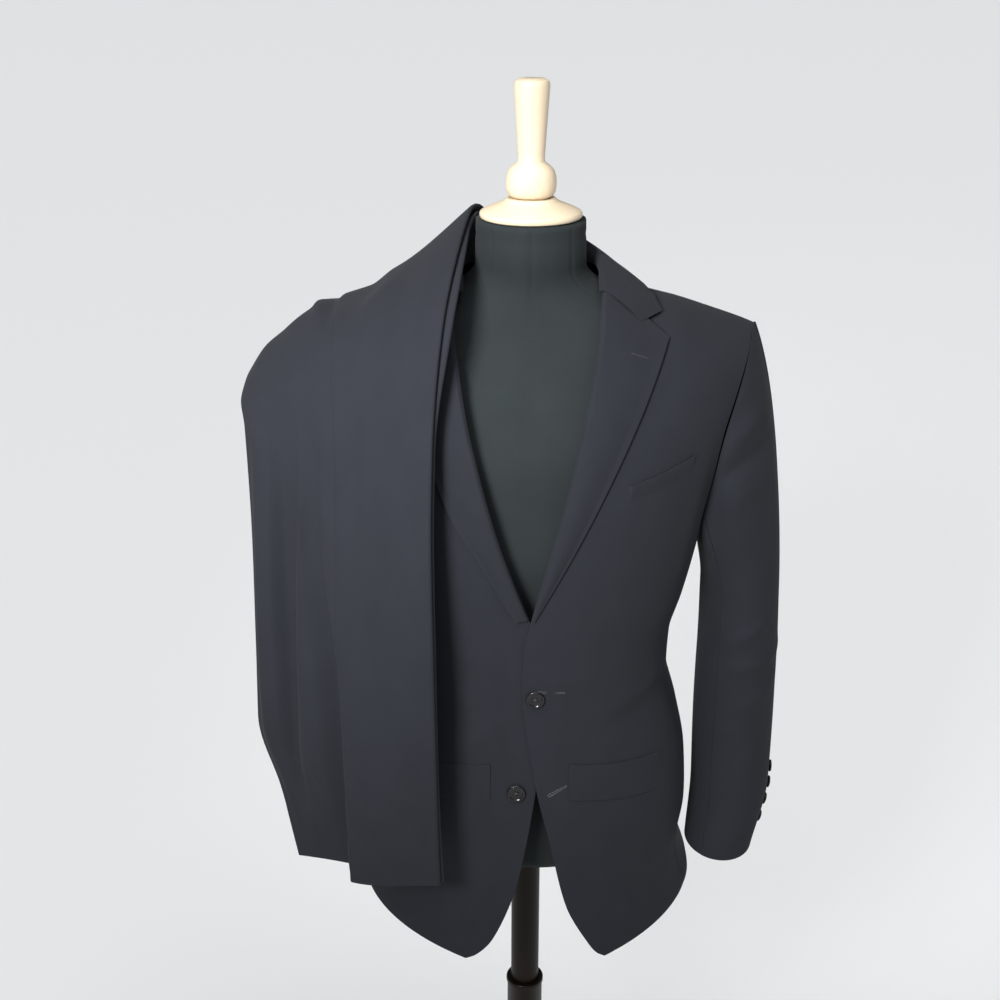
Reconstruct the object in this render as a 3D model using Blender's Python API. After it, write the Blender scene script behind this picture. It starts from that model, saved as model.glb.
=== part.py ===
"""Two-piece suit on a limbless dress form, at full size, in metres.

A single-breasted two-button jacket is buttoned on a dress form, and its trousers lie folded over the
form's right shoulder with both hems in front. The suit faces -Y, +X is the wearer's left and +Z is up.
The origin is the centre of the stand's base, on the surface it rests on.
"""

import math
from collections import namedtuple

import bmesh
import bpy
import numpy as np
from mathutils import Matrix, Vector

# ---------------------------------------------------------------- driving dimensions (metres)
CLOTH = 0.0016  # wall of one layer of suiting with its interlining
SEAM = 0.0004  # gap between two pieces that are sewn together
ROUNDNESS = 2.4  # exponent of the body's superelliptic sections

HEM_SIDE_Z = 0.792  # jacket hem at the side seam
HEM_BACK_Z = 0.772  # jacket hem at the back
CHEST_Z = 1.240  # level where the chest starts to close over the shoulders
UNDERARM_Z = 1.205  # lowest point of the armhole
ARMHOLE_SIDE_Z = 1.233  # where the armhole crosses the side seams
SIDE_SEAM = 0.95  # share of the half width at which the side seams stand
RIDGE_Y = 0.012  # the shoulder seam's distance behind the pole's axis
BACK_NECK_Z = 1.462  # lowest point of the back neckline
NECK_X = 0.074  # shoulder seam's inner end, to each side

VENT_TOP_Z = 0.985  # top of the centre vent
VENT_GAP = 0.003

BUTTON_R = 0.0096
BUTTON_DEPTH = 0.0035
CUFF_BUTTON_R = 0.0068
CUFF_BUTTON_DEPTH = 0.0026

BASE_R = 0.215
BASE_H = 0.030
LOWER_TUBE_R = 0.0220
LOWER_TUBE_TOP_Z = 0.610
POLE_R = 0.0165
POLE_FOOT_Z = 0.500
FORM_BOTTOM_Z = 0.840

LEG_DEPTH = 0.0044  # outer faces of one pressed leg, front to back
LEG_GAP = 0.0018  # between the two stacked legs
CROTCH_ROW = 10.3
WAIST_SEAM_ROW = 12.5

# ---------------------------------------------------------------- tables of the cut
Section = namedtuple("Section", "z half_width front back")
JACKET = (  # outer face of the jacket body, measured from the pole's axis
    Section(0.750, 0.188, 0.152, 0.140),
    Section(0.790, 0.186, 0.151, 0.141),
    Section(0.820, 0.177, 0.150, 0.142),
    Section(0.850, 0.172, 0.150, 0.142),
    Section(0.893, 0.177, 0.149, 0.138),
    Section(0.950, 0.174, 0.146, 0.128),
    Section(1.000, 0.164, 0.141, 0.118),
    Section(1.060, 0.150, 0.137, 0.111),
    Section(1.100, 0.1515, 0.138, 0.113),
    Section(1.146, 0.1637, 0.141, 0.118),
    Section(1.180, 0.1716, 0.143, 0.123),
    Section(1.240, 0.184, 0.145, 0.131),
    Section(1.300, 0.203, 0.145, 0.135),
    Section(1.360, 0.225, 0.145, 0.136),
    Section(1.420, 0.250, 0.145, 0.136),
    Section(1.540, 0.280, 0.145, 0.136),
)

Ridge = namedtuple("Ridge", "x z")
SHOULDER_RIDGE = (  # height of the shoulder line along its width
    Ridge(0.000, 1.500),
    Ridge(0.030, 1.500),
    Ridge(0.050, 1.491),
    Ridge(0.072, 1.476),
    Ridge(0.090, 1.465),
    Ridge(0.113, 1.4535),
    Ridge(0.147, 1.4445),
    Ridge(0.177, 1.435),
    Ridge(0.222, 1.4195),
    Ridge(0.260, 1.400),
)

Armhole = namedtuple("Armhole", "z x")
ARMHOLE = (
    Armhole(1.233, 0.1734),
    Armhole(1.273, 0.1800),
    Armhole(1.319, 0.1875),
    Armhole(1.360, 0.2004),
    Armhole(1.397, 0.2137),
    Armhole(1.416, 0.2210),
    Armhole(1.4195, 0.2265),
)

Edge = namedtuple("Edge", "z x")
LEFT_EDGE = (  # wearer's left front, on top: hem corner, cutaway, front edge, roll line
    Edge(0.757, 0.0830),
    Edge(0.763, 0.0740),
    Edge(0.779, 0.0632),
    Edge(0.8265, 0.0398),
    Edge(0.910, 0.0208),
    Edge(0.959, 0.0089),
    Edge(1.018, -0.0018),
    Edge(1.058, -0.0069),
    Edge(1.089, -0.0081),
    Edge(1.126, -0.0064),
    Edge(1.159, 0.0002),
    Edge(1.270, 0.0284),
    Edge(1.311, 0.0382),
    Edge(1.367, 0.0507),
    Edge(1.4166, 0.0611),
    Edge(1.457, 0.0671),
    Edge(1.4835, 0.0740),
)
RIGHT_EDGE = (  # wearer's right front, underneath, x counted towards the wearer's right
    Edge(0.757, 0.0670),
    Edge(0.763, 0.0560),
    Edge(0.7844, 0.0375),
    Edge(0.8454, 0.0142),
    Edge(0.9068, 0.0020),
    Edge(0.9589, -0.0058),
    Edge(1.020, -0.0130),
    Edge(1.080, -0.0150),
    Edge(1.126, -0.0110),
    Edge(1.159, 0.0012),
    Edge(1.248, 0.0328),
    Edge(1.325, 0.0533),
    Edge(1.365, 0.0625),
    Edge(1.405, 0.0691),
    Edge(1.442, 0.0740),
    Edge(1.4835, 0.0745),
)
LAPEL_BOTTOM_Z = 1.162
GORGE_Z = 1.466  # where the gorge seam leaves the roll line
LEFT_LAPEL = (  # outer edge of the left lapel
    Edge(1.160, 0.0035),
    Edge(1.2305, 0.0394),
    Edge(1.3177, 0.0812),
    Edge(1.367, 0.1046),
    Edge(1.4215, 0.1305),
)
RIGHT_LAPEL = (
    Edge(1.160, 0.0150),
    Edge(1.2276, 0.0529),
    Edge(1.2674, 0.0763),
    Edge(1.3136, 0.0947),
    Edge(1.4215, 0.136),
)

CollarSection = namedtuple("CollarSection", "place foot fold edge")
COLLAR = (  # from the gorge seam round to the centre back: foot of the stand, fold, edge of the fall
    CollarSection(0.00, (0.0655, -0.0400, 1.4620), (0.0694, -0.0486, 1.4664), (0.1270, -0.0363, 1.4431)),
    CollarSection(0.12, (0.0655, -0.0240, 1.4690), (0.0707, -0.0295, 1.4755), (0.1270, -0.0363, 1.4431)),
    CollarSection(0.28, (0.0665, -0.0060, 1.4740), (0.0700, -0.0070, 1.4845), (0.1190, -0.0120, 1.4548)),
    CollarSection(0.42, (0.0655, 0.0120, 1.4750), (0.0685, 0.0130, 1.4890), (0.1085, 0.0150, 1.4612)),
    CollarSection(0.56, (0.0625, 0.0290, 1.4745), (0.0645, 0.0320, 1.4905), (0.0985, 0.0440, 1.4600)),
    CollarSection(0.75, (0.0400, 0.0640, 1.4680), (0.0410, 0.0670, 1.5000), (0.0610, 0.0900, 1.4610)),
    CollarSection(1.00, (0.0000, 0.0830, 1.4660), (0.0000, 0.0850, 1.5060), (0.0000, 0.1060, 1.4600)),
)
COLLAR_TIP = 0.12
NOTCH = (0.1046, -0.0629, 1.4400)

Ring = namedtuple("Ring", "z x y half_width half_depth")
LEFT_ARM = (  # sections of the wearer's left sleeve below the armhole
    Ring(1.140, 0.2265, 0.000, 0.0410, 0.0640),
    Ring(1.060, 0.2285, 0.000, 0.0425, 0.0610),
    Ring(0.980, 0.2285, -0.004, 0.0435, 0.0570),
    Ring(0.910, 0.2270, -0.018, 0.0425, 0.0520),
    Ring(0.843, 0.2135, -0.045, 0.0365, 0.0460),
)
RIGHT_ARM = (  # the right sleeve hangs straighter, beneath the trousers
    Ring(1.140, 0.2215, 0.004, 0.0360, 0.0600),
    Ring(1.060, 0.2225, 0.006, 0.0360, 0.0580),
    Ring(0.980, 0.2225, 0.008, 0.0360, 0.0550),
    Ring(0.910, 0.2200, 0.010, 0.0345, 0.0510),
    Ring(0.850, 0.2160, 0.014, 0.0330, 0.0470),
)

Station = namedtuple("Station", "row right middle left")
DRAPE = (  # the trousers' back envelope from the hems, up the front, over the shoulder and down the back
    Station(0, (-0.0930, -0.2000, 0.893), (-0.1680, -0.1620, 0.888), (-0.2390, -0.1400, 0.886)),
    Station(1, (-0.0945, -0.1960, 0.960), (-0.1740, -0.1600, 0.958), (-0.2580, -0.1170, 0.955)),
    Station(2, (-0.0952, -0.1910, 1.030), (-0.1800, -0.1550, 1.030), (-0.2800, -0.1000, 1.030)),
    Station(3, (-0.0962, -0.1850, 1.120), (-0.1830, -0.1450, 1.117), (-0.2787, -0.0900, 1.113)),
    Station(4, (-0.0969, -0.1770, 1.241), (-0.1840, -0.1350, 1.241), (-0.2760, -0.0820, 1.2415)),
    Station(5, (-0.0945, -0.1600, 1.345), (-0.1860, -0.1180, 1.340), (-0.2780, -0.0700, 1.335)),
    Station(6, (-0.0820, -0.1000, 1.466), (-0.1900, -0.0690, 1.4225), (-0.2840, -0.0450, 1.359)),
    Station(7, (-0.0590, 0.0400, 1.530), (-0.1900, 0.0150, 1.4508), (-0.2830, -0.0050, 1.371)),
    Station(8, (-0.0480, 0.0820, 1.520), (-0.1880, 0.0750, 1.434), (-0.2860, 0.0450, 1.349)),
    Station(9, (-0.0420, 0.1180, 1.485), (-0.1860, 0.1180, 1.375), (-0.2900, 0.0800, 1.285)),
    Station(10, (-0.0400, 0.1480, 1.420), (-0.1830, 0.1470, 1.300), (-0.2920, 0.1050, 1.205)),
    Station(11, (-0.0380, 0.1600, 1.350), (-0.1800, 0.1580, 1.225), (-0.2920, 0.1200, 1.120)),
    Station(12, (-0.0360, 0.1640, 1.275), (-0.1770, 0.1620, 1.150), (-0.2900, 0.1290, 1.040)),
    Station(13, (-0.0340, 0.1650, 1.200), (-0.1750, 0.1630, 1.080), (-0.2880, 0.1340, 0.960)),
)

Fold = namedtuple("Fold", "row ridge_at ridge step_at step strip")
FOLDS = (  # soft folds of the upper leg: main ridge, second step and the strip along the outer edge
    Fold(0.0, 0.550, 0.028, 0.75, 0.000, 0.000),
    Fold(1.0, 0.500, 0.022, 0.74, 0.006, 0.004),
    Fold(2.0, 0.450, 0.017, 0.74, 0.010, 0.008),
    Fold(3.0, 0.440, 0.010, 0.76, 0.012, 0.010),
    Fold(3.8, 0.500, 0.002, 0.78, 0.009, 0.009),
    Fold(4.6, 0.500, 0.000, 0.80, 0.003, 0.004),
    Fold(5.5, 0.500, 0.000, 0.80, 0.000, 0.000),
    Fold(13.0, 0.500, 0.000, 0.80, 0.000, 0.000),
)
BACK_WAVE = 0.018  # how far the two soft waves of the seat stand out at the waist
BACK_WAVE_ROW = 9.0
LEG_ROWS = (0, 0.9, 1.9, 2.9, 3.9, 4.7, 5.3, 5.8, 6.25, 6.65, 7.05, 7.5, 8.0, 8.7, 9.6, 10.7, 11.7)

Profile = namedtuple("Profile", "z half_width front back")
FORM = (  # the dress form's body and neck
    Profile(0.840, 0.138, 0.100, 0.100),
    Profile(0.852, 0.144, 0.106, 0.106),
    Profile(0.900, 0.146, 0.112, 0.110),
    Profile(0.980, 0.138, 0.110, 0.100),
    Profile(1.060, 0.127, 0.106, 0.090),
    Profile(1.140, 0.138, 0.112, 0.096),
    Profile(1.220, 0.156, 0.122, 0.108),
    Profile(1.300, 0.168, 0.122, 0.114),
    Profile(1.360, 0.176, 0.106, 0.110),
    Profile(1.400, 0.180, 0.088, 0.096),
    Profile(1.418, 0.178, 0.076, 0.086),
    Profile(1.4275, 0.1735, 0.070, 0.078),
    Profile(1.4365, 0.147, 0.066, 0.070),
    Profile(1.4465, 0.112, 0.062, 0.064),
    Profile(1.4560, 0.087, 0.0585, 0.060),
    Profile(1.4660, 0.066, 0.0555, 0.057),
    Profile(1.4800, 0.0555, 0.0540, 0.055),
    Profile(1.5250, 0.0540, 0.0540, 0.054),
)

Turn = namedtuple("Turn", "r z")
FINIAL = (  # turned handle: ball, waist and tapered grip
    Turn(0.0100, 1.5455),
    Turn(0.0215, 1.5475),
    Turn(0.0245, 1.5560),
    Turn(0.0240, 1.5660),
    Turn(0.0190, 1.5750),
    Turn(0.0135, 1.5790),
    Turn(0.0130, 1.5860),
    Turn(0.0150, 1.6150),
    Turn(0.0172, 1.6480),
    Turn(0.0160, 1.6530),
    Turn(0.0120, 1.6555),
)
CAP = (
    Turn(0.0460, 1.5253),
    Turn(0.0500, 1.5285),
    Turn(0.0495, 1.5320),
    Turn(0.0380, 1.5375),
    Turn(0.0270, 1.5420),
    Turn(0.0235, 1.5452),
)
BASE = (
    Turn(0.2100, 0.0000),
    Turn(BASE_R, 0.0050),
    Turn(BASE_R, 0.0140),
    Turn(0.2050, 0.0200),
    Turn(0.0900, 0.0255),
    Turn(0.0450, BASE_H),
)


# ---------------------------------------------------------------- reading the tables
def smooth(rows, by, column, at):
    """A column of a table read at any place, on a curve through its rows that doesn't overshoot."""
    xs = [getattr(row, by) for row in rows]
    ys = [np.array(getattr(row, column), float) for row in rows]
    at = min(max(at, xs[0]), xs[-1])
    i = min(max(int(np.searchsorted(xs, at)) - 1, 0), len(xs) - 2)
    slopes = []
    for k in (i, i + 1):
        if 0 < k < len(xs) - 1:
            before = (ys[k] - ys[k - 1]) / (xs[k] - xs[k - 1])
            after = (ys[k + 1] - ys[k]) / (xs[k + 1] - xs[k])
            slopes.append(np.where(before * after > 0, 2 * before * after / (before + after + 1e-12), 0.0))
        else:
            j = min(k, len(xs) - 2)
            slopes.append((ys[j + 1] - ys[j]) / (xs[j + 1] - xs[j]))
    width = xs[i + 1] - xs[i]
    t = (at - xs[i]) / width
    value = (
        (1 + 2 * t) * (1 - t) ** 2 * ys[i]
        + t * (1 - t) ** 2 * width * slopes[0]
        + t * t * (3 - 2 * t) * ys[i + 1]
        + t * t * (t - 1) * width * slopes[1]
    )
    return float(value) if value.ndim == 0 else value


def mix(a, b, t):
    return a + (b - a) * t


def ease(t):
    t = min(max(t, 0.0), 1.0)
    return t * t * (3 - 2 * t)


# ---------------------------------------------------------------- the jacket's surface
def ridge_z(x):
    return smooth(SHOULDER_RIDGE, "x", "z", x)


def chest_closing(x, z, power):
    """1 up to the chest line, falling to 0 at the shoulder ridge as a rounded arc."""
    if z <= CHEST_Z:
        return 1.0
    t = min((z - CHEST_Z) / (ridge_z(x) - CHEST_Z), 1.0)
    return math.sqrt(max(0.0, 1 - t**power))


def depth_share(x, z):
    share = min(abs(x) / smooth(JACKET, "z", "half_width", z), 1.0)
    return (1 - share**ROUNDNESS) ** (1 / ROUNDNESS)


def front_y(x, z):
    closing = chest_closing(x, z, 2.2)
    depth = smooth(JACKET, "z", "front", z) * depth_share(x, z)
    return (RIDGE_Y - SEAM / 2) * (1 - closing) - depth * closing


def back_y(x, z):
    closing = chest_closing(x, z, 2.8)
    depth = smooth(JACKET, "z", "back", z) * depth_share(x, z)
    return (RIDGE_Y + SEAM / 2) * (1 - closing) + depth * closing


def side_point(angle, z):
    """A point of the body's section, by its angle from the centre front."""
    half_width = smooth(JACKET, "z", "half_width", z)
    depth = smooth(JACKET, "z", "front" if angle < math.pi / 2 else "back", z)
    across = abs(math.sin(angle)) ** (2 / ROUNDNESS)
    along = abs(math.cos(angle)) ** (2 / ROUNDNESS)
    return Vector((half_width * across, -math.copysign(depth * along, math.cos(angle)), z))


SEAM_ANGLE = math.asin(SIDE_SEAM ** (ROUNDNESS / 2))


def side_top_z(angle):
    share = (math.pi / 2 - angle) / (math.pi / 2 - SEAM_ANGLE)
    return UNDERARM_Z + (ARMHOLE_SIDE_Z - UNDERARM_Z) * share * share


def armhole_x(z):
    return smooth(ARMHOLE, "z", "x", z)


def side_x(z):
    return SIDE_SEAM * smooth(JACKET, "z", "half_width", z)


# ---------------------------------------------------------------- making solids
def finish(name, colour, roughness, metallic=0.0):
    material = bpy.data.materials.new(name)
    material.use_nodes = True
    shader = material.node_tree.nodes["Principled BSDF"]
    shader.inputs["Base Color"].default_value = (*colour, 1.0)
    shader.inputs["Roughness"].default_value = roughness
    shader.inputs["Metallic"].default_value = metallic
    return material


def place(name, mesh, material, smooth_shaded=True):
    data = bpy.data.meshes.new(name)
    mesh.to_mesh(data)
    mesh.free()
    data.materials.append(material)
    obj = bpy.data.objects.new(name, data)
    bpy.context.scene.collection.objects.link(obj)
    if smooth_shaded:
        data.shade_smooth()
        data.set_sharp_from_angle(angle=math.radians(40))
    return obj


def facing(point, a, b, turn):
    """The unit normal of point(a, b), from its slopes."""
    step = 1e-4
    a0, a1 = max(a - step, 0.0), min(a + step, 1.0)
    b0, b1 = max(b - step, 0.0), min(b + step, 1.0)
    along_a = point(a1, b) - point(a0, b)
    along_b = point(a, b1) - point(a, b0)
    return along_a.cross(along_b).normalized() * turn


def wall(name, point, across, along, material, turn=1, thickness=CLOTH):
    """A closed wall of cloth: a grid laid on point(a, b), and its inner face one thickness behind it."""
    mesh = bmesh.new()
    columns, rows = len(across) - 1, len(along) - 1
    made = bmesh.ops.create_grid(mesh, x_segments=columns, y_segments=rows, size=0.5)
    normals = {}
    for vertex in made["verts"]:
        a = across[round((vertex.co.x + 0.5) * columns)]
        b = along[round((vertex.co.y + 0.5) * rows)]
        vertex.co = point(a, b)
        normals[vertex] = facing(point, a, b, turn)
    outer = mesh.faces[:]
    rim = [edge for edge in mesh.edges if edge.is_boundary]
    copied = bmesh.ops.duplicate(mesh, geom=mesh.verts[:] + mesh.edges[:] + outer)
    inner_of = {v: copied["vert_map"][v] for v in normals}
    for vertex, normal in normals.items():
        inner_of[vertex].co = vertex.co - normal * thickness
    bmesh.ops.reverse_faces(mesh, faces=[f for f in copied["geom"] if isinstance(f, bmesh.types.BMFace)])
    for edge in rim:
        start, end = edge.verts
        loop = edge.link_loops[0]
        if loop.vert is not start:
            start, end = end, start
        mesh.faces.new((end, start, inner_of[start], inner_of[end]))
    if turn < 0:
        bmesh.ops.reverse_faces(mesh, faces=mesh.faces[:])
    return place(name, mesh, material)


def steps(count, start=0.0, stop=1.0):
    return [mix(start, stop, i / count) for i in range(count + 1)]


def turned(name, profile, material, segments=48):
    """A solid of revolution about the pole's axis, closed by flat ends."""
    mesh = bmesh.new()
    points = [mesh.verts.new((turn.r, 0.0, turn.z)) for turn in profile]
    edges = [mesh.edges.new(pair) for pair in zip(points, points[1:])]
    bmesh.ops.spin(
        mesh,
        geom=points + edges,
        cent=(0, 0, 0),
        axis=(0, 0, 1),
        angle=2 * math.pi,
        steps=segments,
        use_merge=True,
    )
    bmesh.ops.remove_doubles(mesh, verts=mesh.verts[:], dist=1e-6)
    bmesh.ops.holes_fill(mesh, edges=mesh.edges[:], sides=0)
    bmesh.ops.recalc_face_normals(mesh, faces=mesh.faces[:])
    return place(name, mesh, material)


def mirrored(point, side):
    """The same surface for the wearer's left (1) or right (-1)."""
    return lambda a, b: Vector((point(a, b).x * side, point(a, b).y, point(a, b).z))


# ---------------------------------------------------------------- jacket body
def front_point(edge, overlap):
    """One front from its edge or roll line (a = 0) to the side seam or armhole (a = 1), hem to shoulder."""
    split = 0.66

    def point(a, b):
        if b <= split:
            t = b / split
            inner_z = mix(edge[0].z, ARMHOLE_SIDE_Z, t**1.45)
            outer_z = mix(HEM_SIDE_Z, ARMHOLE_SIDE_Z, t)
            z = mix(inner_z, outer_z, a)
            x = mix(smooth(edge, "z", "x", inner_z), side_x(outer_z) - SEAM / 2, a)
        else:
            t = math.sin((b - split) / (1 - split) * math.pi / 2)
            x, z = 0.1, 1.3
            for _ in range(12):
                z = mix(ARMHOLE_SIDE_Z, ridge_z(x), t)
                outer_z = mix(ARMHOLE_SIDE_Z, ARMHOLE[-1].z, t)
                x = mix(smooth(edge, "z", "x", z), armhole_x(outer_z) - SEAM / 2, a)
        under = overlap * ease((0.055 - x) / 0.035) * ease((1.22 - z) / 0.05)
        return Vector((x, front_y(x, z) + under, z))

    return point


def back_point(a, b):
    """One back from the centre seam (a = 0) to the side seam or armhole (a = 1), hem to shoulder and neck."""
    split = 0.60
    neck_share = 0.35
    if b <= split:
        t = b / split
        z = mix(mix(HEM_BACK_Z, HEM_SIDE_Z, ease(a)), ARMHOLE_SIDE_Z, t)
        inner_x = VENT_GAP / 2 if z < VENT_TOP_Z else SEAM / 2
        return Vector((mix(inner_x, side_x(z) - SEAM / 2, a), 0, z)) + Vector((0, 1, 0)) * back_y(
            mix(inner_x, side_x(z) - SEAM / 2, a), z
        )
    t = math.sin((b - split) / (1 - split) * math.pi / 2)
    outer_z = mix(ARMHOLE_SIDE_Z, ARMHOLE[-1].z, t)
    outer_x = armhole_x(outer_z) - SEAM / 2
    neck_x = mix(mix(0, outer_x, neck_share), NECK_X, t)
    if a <= neck_share:
        x = mix(SEAM / 2, neck_x, a / neck_share)
        top = mix(BACK_NECK_Z, ridge_z(NECK_X), ease(a / neck_share) ** 2)
    else:
        x = mix(neck_x, outer_x, (a - neck_share) / (1 - neck_share))
        top = ridge_z(x) if x > NECK_X else mix(ridge_z(NECK_X), ridge_z(max(x, 0.05)), 1 - t)
    z = mix(ARMHOLE_SIDE_Z, top, t)
    return Vector((x, back_y(x, z), z))


def side_panel_point(a, b):
    start = SEAM_ANGLE + 0.0035
    angle = mix(start, math.pi - start, a)
    hem = mix(HEM_SIDE_Z, HEM_SIDE_Z - 0.004, a)
    return side_point(angle, mix(hem, side_top_z(angle), b))


def jacket_body(cloth):
    for name, side, edge, overlap in (("left", 1, LEFT_EDGE, 0.0), ("right", -1, RIGHT_EDGE, 0.0026)):
        wall(
            f"front_{name}",
            mirrored(front_point(edge, overlap), side),
            steps(8),
            steps(11, 0.0, 0.66) + steps(7, 0.66, 1.0)[1:],
            cloth,
            turn=side,
        )
        wall(f"side_{name}", mirrored(side_panel_point, side), steps(5), steps(9), cloth, turn=side)
        wall(
            f"back_{name}",
            mirrored(back_point, side),
            steps(3, 0.0, 0.35) + steps(4, 0.35, 1.0)[1:],
            steps(8, 0.0, 0.60) + steps(7, 0.60, 1.0)[1:],
            cloth,
            turn=-side,
        )


# ---------------------------------------------------------------- lapels and collar
def on_front(x, z, lift, side_overlap=0.0):
    """A point of the front's outer face, moved out along the surface."""
    step = 0.0005
    here = Vector((x, front_y(x, z), z))
    by_x = Vector((2 * step, front_y(x + step, z) - front_y(x - step, z), 0))
    by_z = Vector((0, front_y(x, z) - front_y(x, z - step), step))
    return here + by_x.cross(by_z).normalized() * (lift - side_overlap)


def lapel_point(edge, outer):
    def point(a, b):
        inner_z = mix(LAPEL_BOTTOM_Z, GORGE_Z, b)
        outer_z = mix(outer[0].z, outer[-1].z, b)
        x = mix(smooth(edge, "z", "x", inner_z) + 0.0004, smooth(outer, "z", "x", outer_z), a)
        z = mix(inner_z, outer_z, a)
        roll = 0.0030 * math.sin(math.pi * min(1.0, a * 1.2)) * math.sin(math.pi * b) ** 0.5
        lift = CLOTH + 0.0007 + 0.0014 * b + roll
        return on_front(x, z, lift)

    return point


def collar_point(a, b):
    """The collar's outer face: up the stand (a < 0.4), over the fold, down the fall; gorge to centre back."""
    foot, fold, edge = (Vector(smooth(COLLAR, "place", part, b)) for part in ("foot", "fold", "edge"))
    if b < COLLAR_TIP:
        edge = Vector(NOTCH).lerp(edge, b / COLLAR_TIP)
    turn_at = 0.40
    outward = Vector((edge.x - foot.x, edge.y - foot.y, 0)).normalized()
    if a <= turn_at:
        t = a / turn_at
        return foot.lerp(fold, t) - outward * 0.0012 * math.sin(math.pi * t)
    t = (a - turn_at) / (1 - turn_at)
    bulge = mix(0.0012, 0.0050, ease((b - 0.45) / 0.35)) + 0.0032 * ease((0.25 - b) / 0.20)
    rise = (Vector((0, 0, bulge)) + outward * bulge * 0.7) * math.sin(math.pi * t)
    return fold.lerp(edge, t) + rise


def collar_round(a, b):
    """The whole collar, from the wearer's left gorge (b = 0) round the neck to the right (b = 1)."""
    half = collar_point(a, 1 - abs(2 * b - 1))
    return Vector((half.x if b <= 0.5 else -half.x, half.y, half.z))


def lapels_and_collar(cloth):
    wall("lapel_left", lapel_point(LEFT_EDGE, LEFT_LAPEL), steps(5), steps(14), cloth)
    right = mirrored(lapel_point(RIGHT_EDGE, RIGHT_LAPEL), -1)
    wall("lapel_right", right, steps(5), steps(14), cloth, turn=-1)
    half_round = [0, 0.03, 0.06, 0.10, 0.14, 0.21, 0.28, 0.375]
    rows = half_round + [0.5] + [1 - b for b in reversed(half_round)]
    wall("collar", collar_round, [0, 0.2, 0.34, 0.4, 0.46, 0.6, 0.8, 1.0], rows, cloth)


# ---------------------------------------------------------------- pockets and buttons on the fronts
def strip_point(start, end, drop, lift):
    """A strip on the front: its top edge runs from start to end (x, z) and it hangs down by drop."""

    def point(a, b):
        x = mix(start[0], end[0], a)
        top = mix(start[1], end[1], a)
        return on_front(x, top - drop * (1 - b), lift)

    return point


WELT = ((0.0906, 1.2972), (0.1590, 1.3195), 0.022)
FLAP = ((0.0400, 0.9965), (0.1380, 0.9865), 0.040)


def pockets(cloth):
    lift = CLOTH + 0.0008
    start, end, drop = WELT
    wall("breast_welt", strip_point(start, end, drop, lift), steps(4), steps(1), cloth)
    start, end, drop = FLAP
    for name, side in (("left", 1), ("right", -1)):
        flap = mirrored(strip_point(start, end, drop, lift + 0.0003), side)
        wall(f"pocket_flap_{name}", flap, steps(6), steps(2), cloth, turn=side)


def disc(name, centre, normal, radius, depth, material, segments=20):
    """A button: a short cylinder with softened rims, its back at centre."""
    mesh = bmesh.new()
    bmesh.ops.create_cone(
        mesh,
        cap_ends=True,
        segments=segments,
        radius1=radius,
        radius2=radius,
        depth=depth,
    )
    bmesh.ops.bevel(
        mesh,
        geom=[e for e in mesh.edges if abs(e.verts[0].co.z - e.verts[1].co.z) < 1e-6],
        offset=depth * 0.28,
        segments=1,
        profile=0.5,
        affect="EDGES",
        material=-1,
    )
    turn = Vector((0, 0, 1)).rotation_difference(normal).to_matrix().to_4x4()
    mesh.transform(Matrix.Translation(centre + normal * depth / 2) @ turn)
    return place(name, mesh, material)


FASTENED_BUTTON = (0.0050, 1.0716)  # x and z of the buttons on the front
LOWER_BUTTON = (-0.0136, 0.9646)


def front_buttons(horn):
    for name, (x, z), gap in (("fastened", FASTENED_BUTTON, 0.0011), ("lower", LOWER_BUTTON, -0.0020)):
        seat = on_front(abs(x), z, gap)
        seat.x = math.copysign(seat.x, x)
        disc(f"button_{name}", seat, Vector((0, -1, 0)), BUTTON_R, BUTTON_DEPTH, horn)


# ---------------------------------------------------------------- sleeves
def armhole_point(q):
    """Round the armhole: q = 0 at the shoulder, 0.25 in front, 0.5 at the underarm, 0.75 behind."""
    behind = q > 0.5
    s = 2 * (1 - q if behind else q)
    top = ARMHOLE[-1].z
    z = mix(UNDERARM_Z, top, (1 + math.cos(math.pi * s)) / 2)
    if z >= ARMHOLE_SIDE_Z:
        x = armhole_x(z)
        return Vector((x, back_y(x, z) if behind else front_y(x, z), z))
    share = math.sqrt(max(0.0, (z - UNDERARM_Z) / (ARMHOLE_SIDE_Z - UNDERARM_Z)))
    angle = math.pi / 2 - share * (math.pi / 2 - SEAM_ANGLE)
    return side_point(math.pi - angle if behind else angle, z)


def sleeve_point(arm, head_share=0.42):
    """One sleeve: q round it, b from the armhole (0) down to the cuff (1)."""

    def ring(q, z):
        x, y, w, d = (smooth(tuple(reversed(arm)), "z", c, z) for c in ("x", "y", "half_width", "half_depth"))
        return Vector((x + w * math.cos(2 * math.pi * q), y - d * math.sin(2 * math.pi * q), z))

    def point(q, b):
        top_z, cuff_z = arm[0].z, arm[-1].z
        if b > head_share:
            return ring(q, mix(top_z, cuff_z, (b - head_share) / (1 - head_share)))
        t = b / head_share
        start = armhole_point(q) + Vector((0.0018, 0, -0.0002))
        end = ring(q, top_z)
        length = max(start.z - top_z, 0.05)
        outer = 0.5 + 0.5 * math.cos(2 * math.pi * q)
        leaving = Vector((0.30 * outer, -0.22 * math.sin(2 * math.pi * q), -0.72)) * length
        arriving = (ring(q, top_z - 0.01) - end) * (length / 0.01)
        h = (2 * t**3 - 3 * t**2 + 1, t**3 - 2 * t**2 + t, 3 * t**2 - 2 * t**3, t**3 - t**2)
        return start * h[0] + leaving * h[1] + end * h[2] + arriving * h[3]

    return point


TOP_SLEEVE = (-0.04, 0.36)  # q of the back seam and of the front seam


def sleeve_panel(arm, start, end):
    whole = sleeve_point(arm)
    gap = 0.0010
    return lambda a, b: whole((mix(start + gap, end - gap, a)) % 1.0, b)


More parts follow.
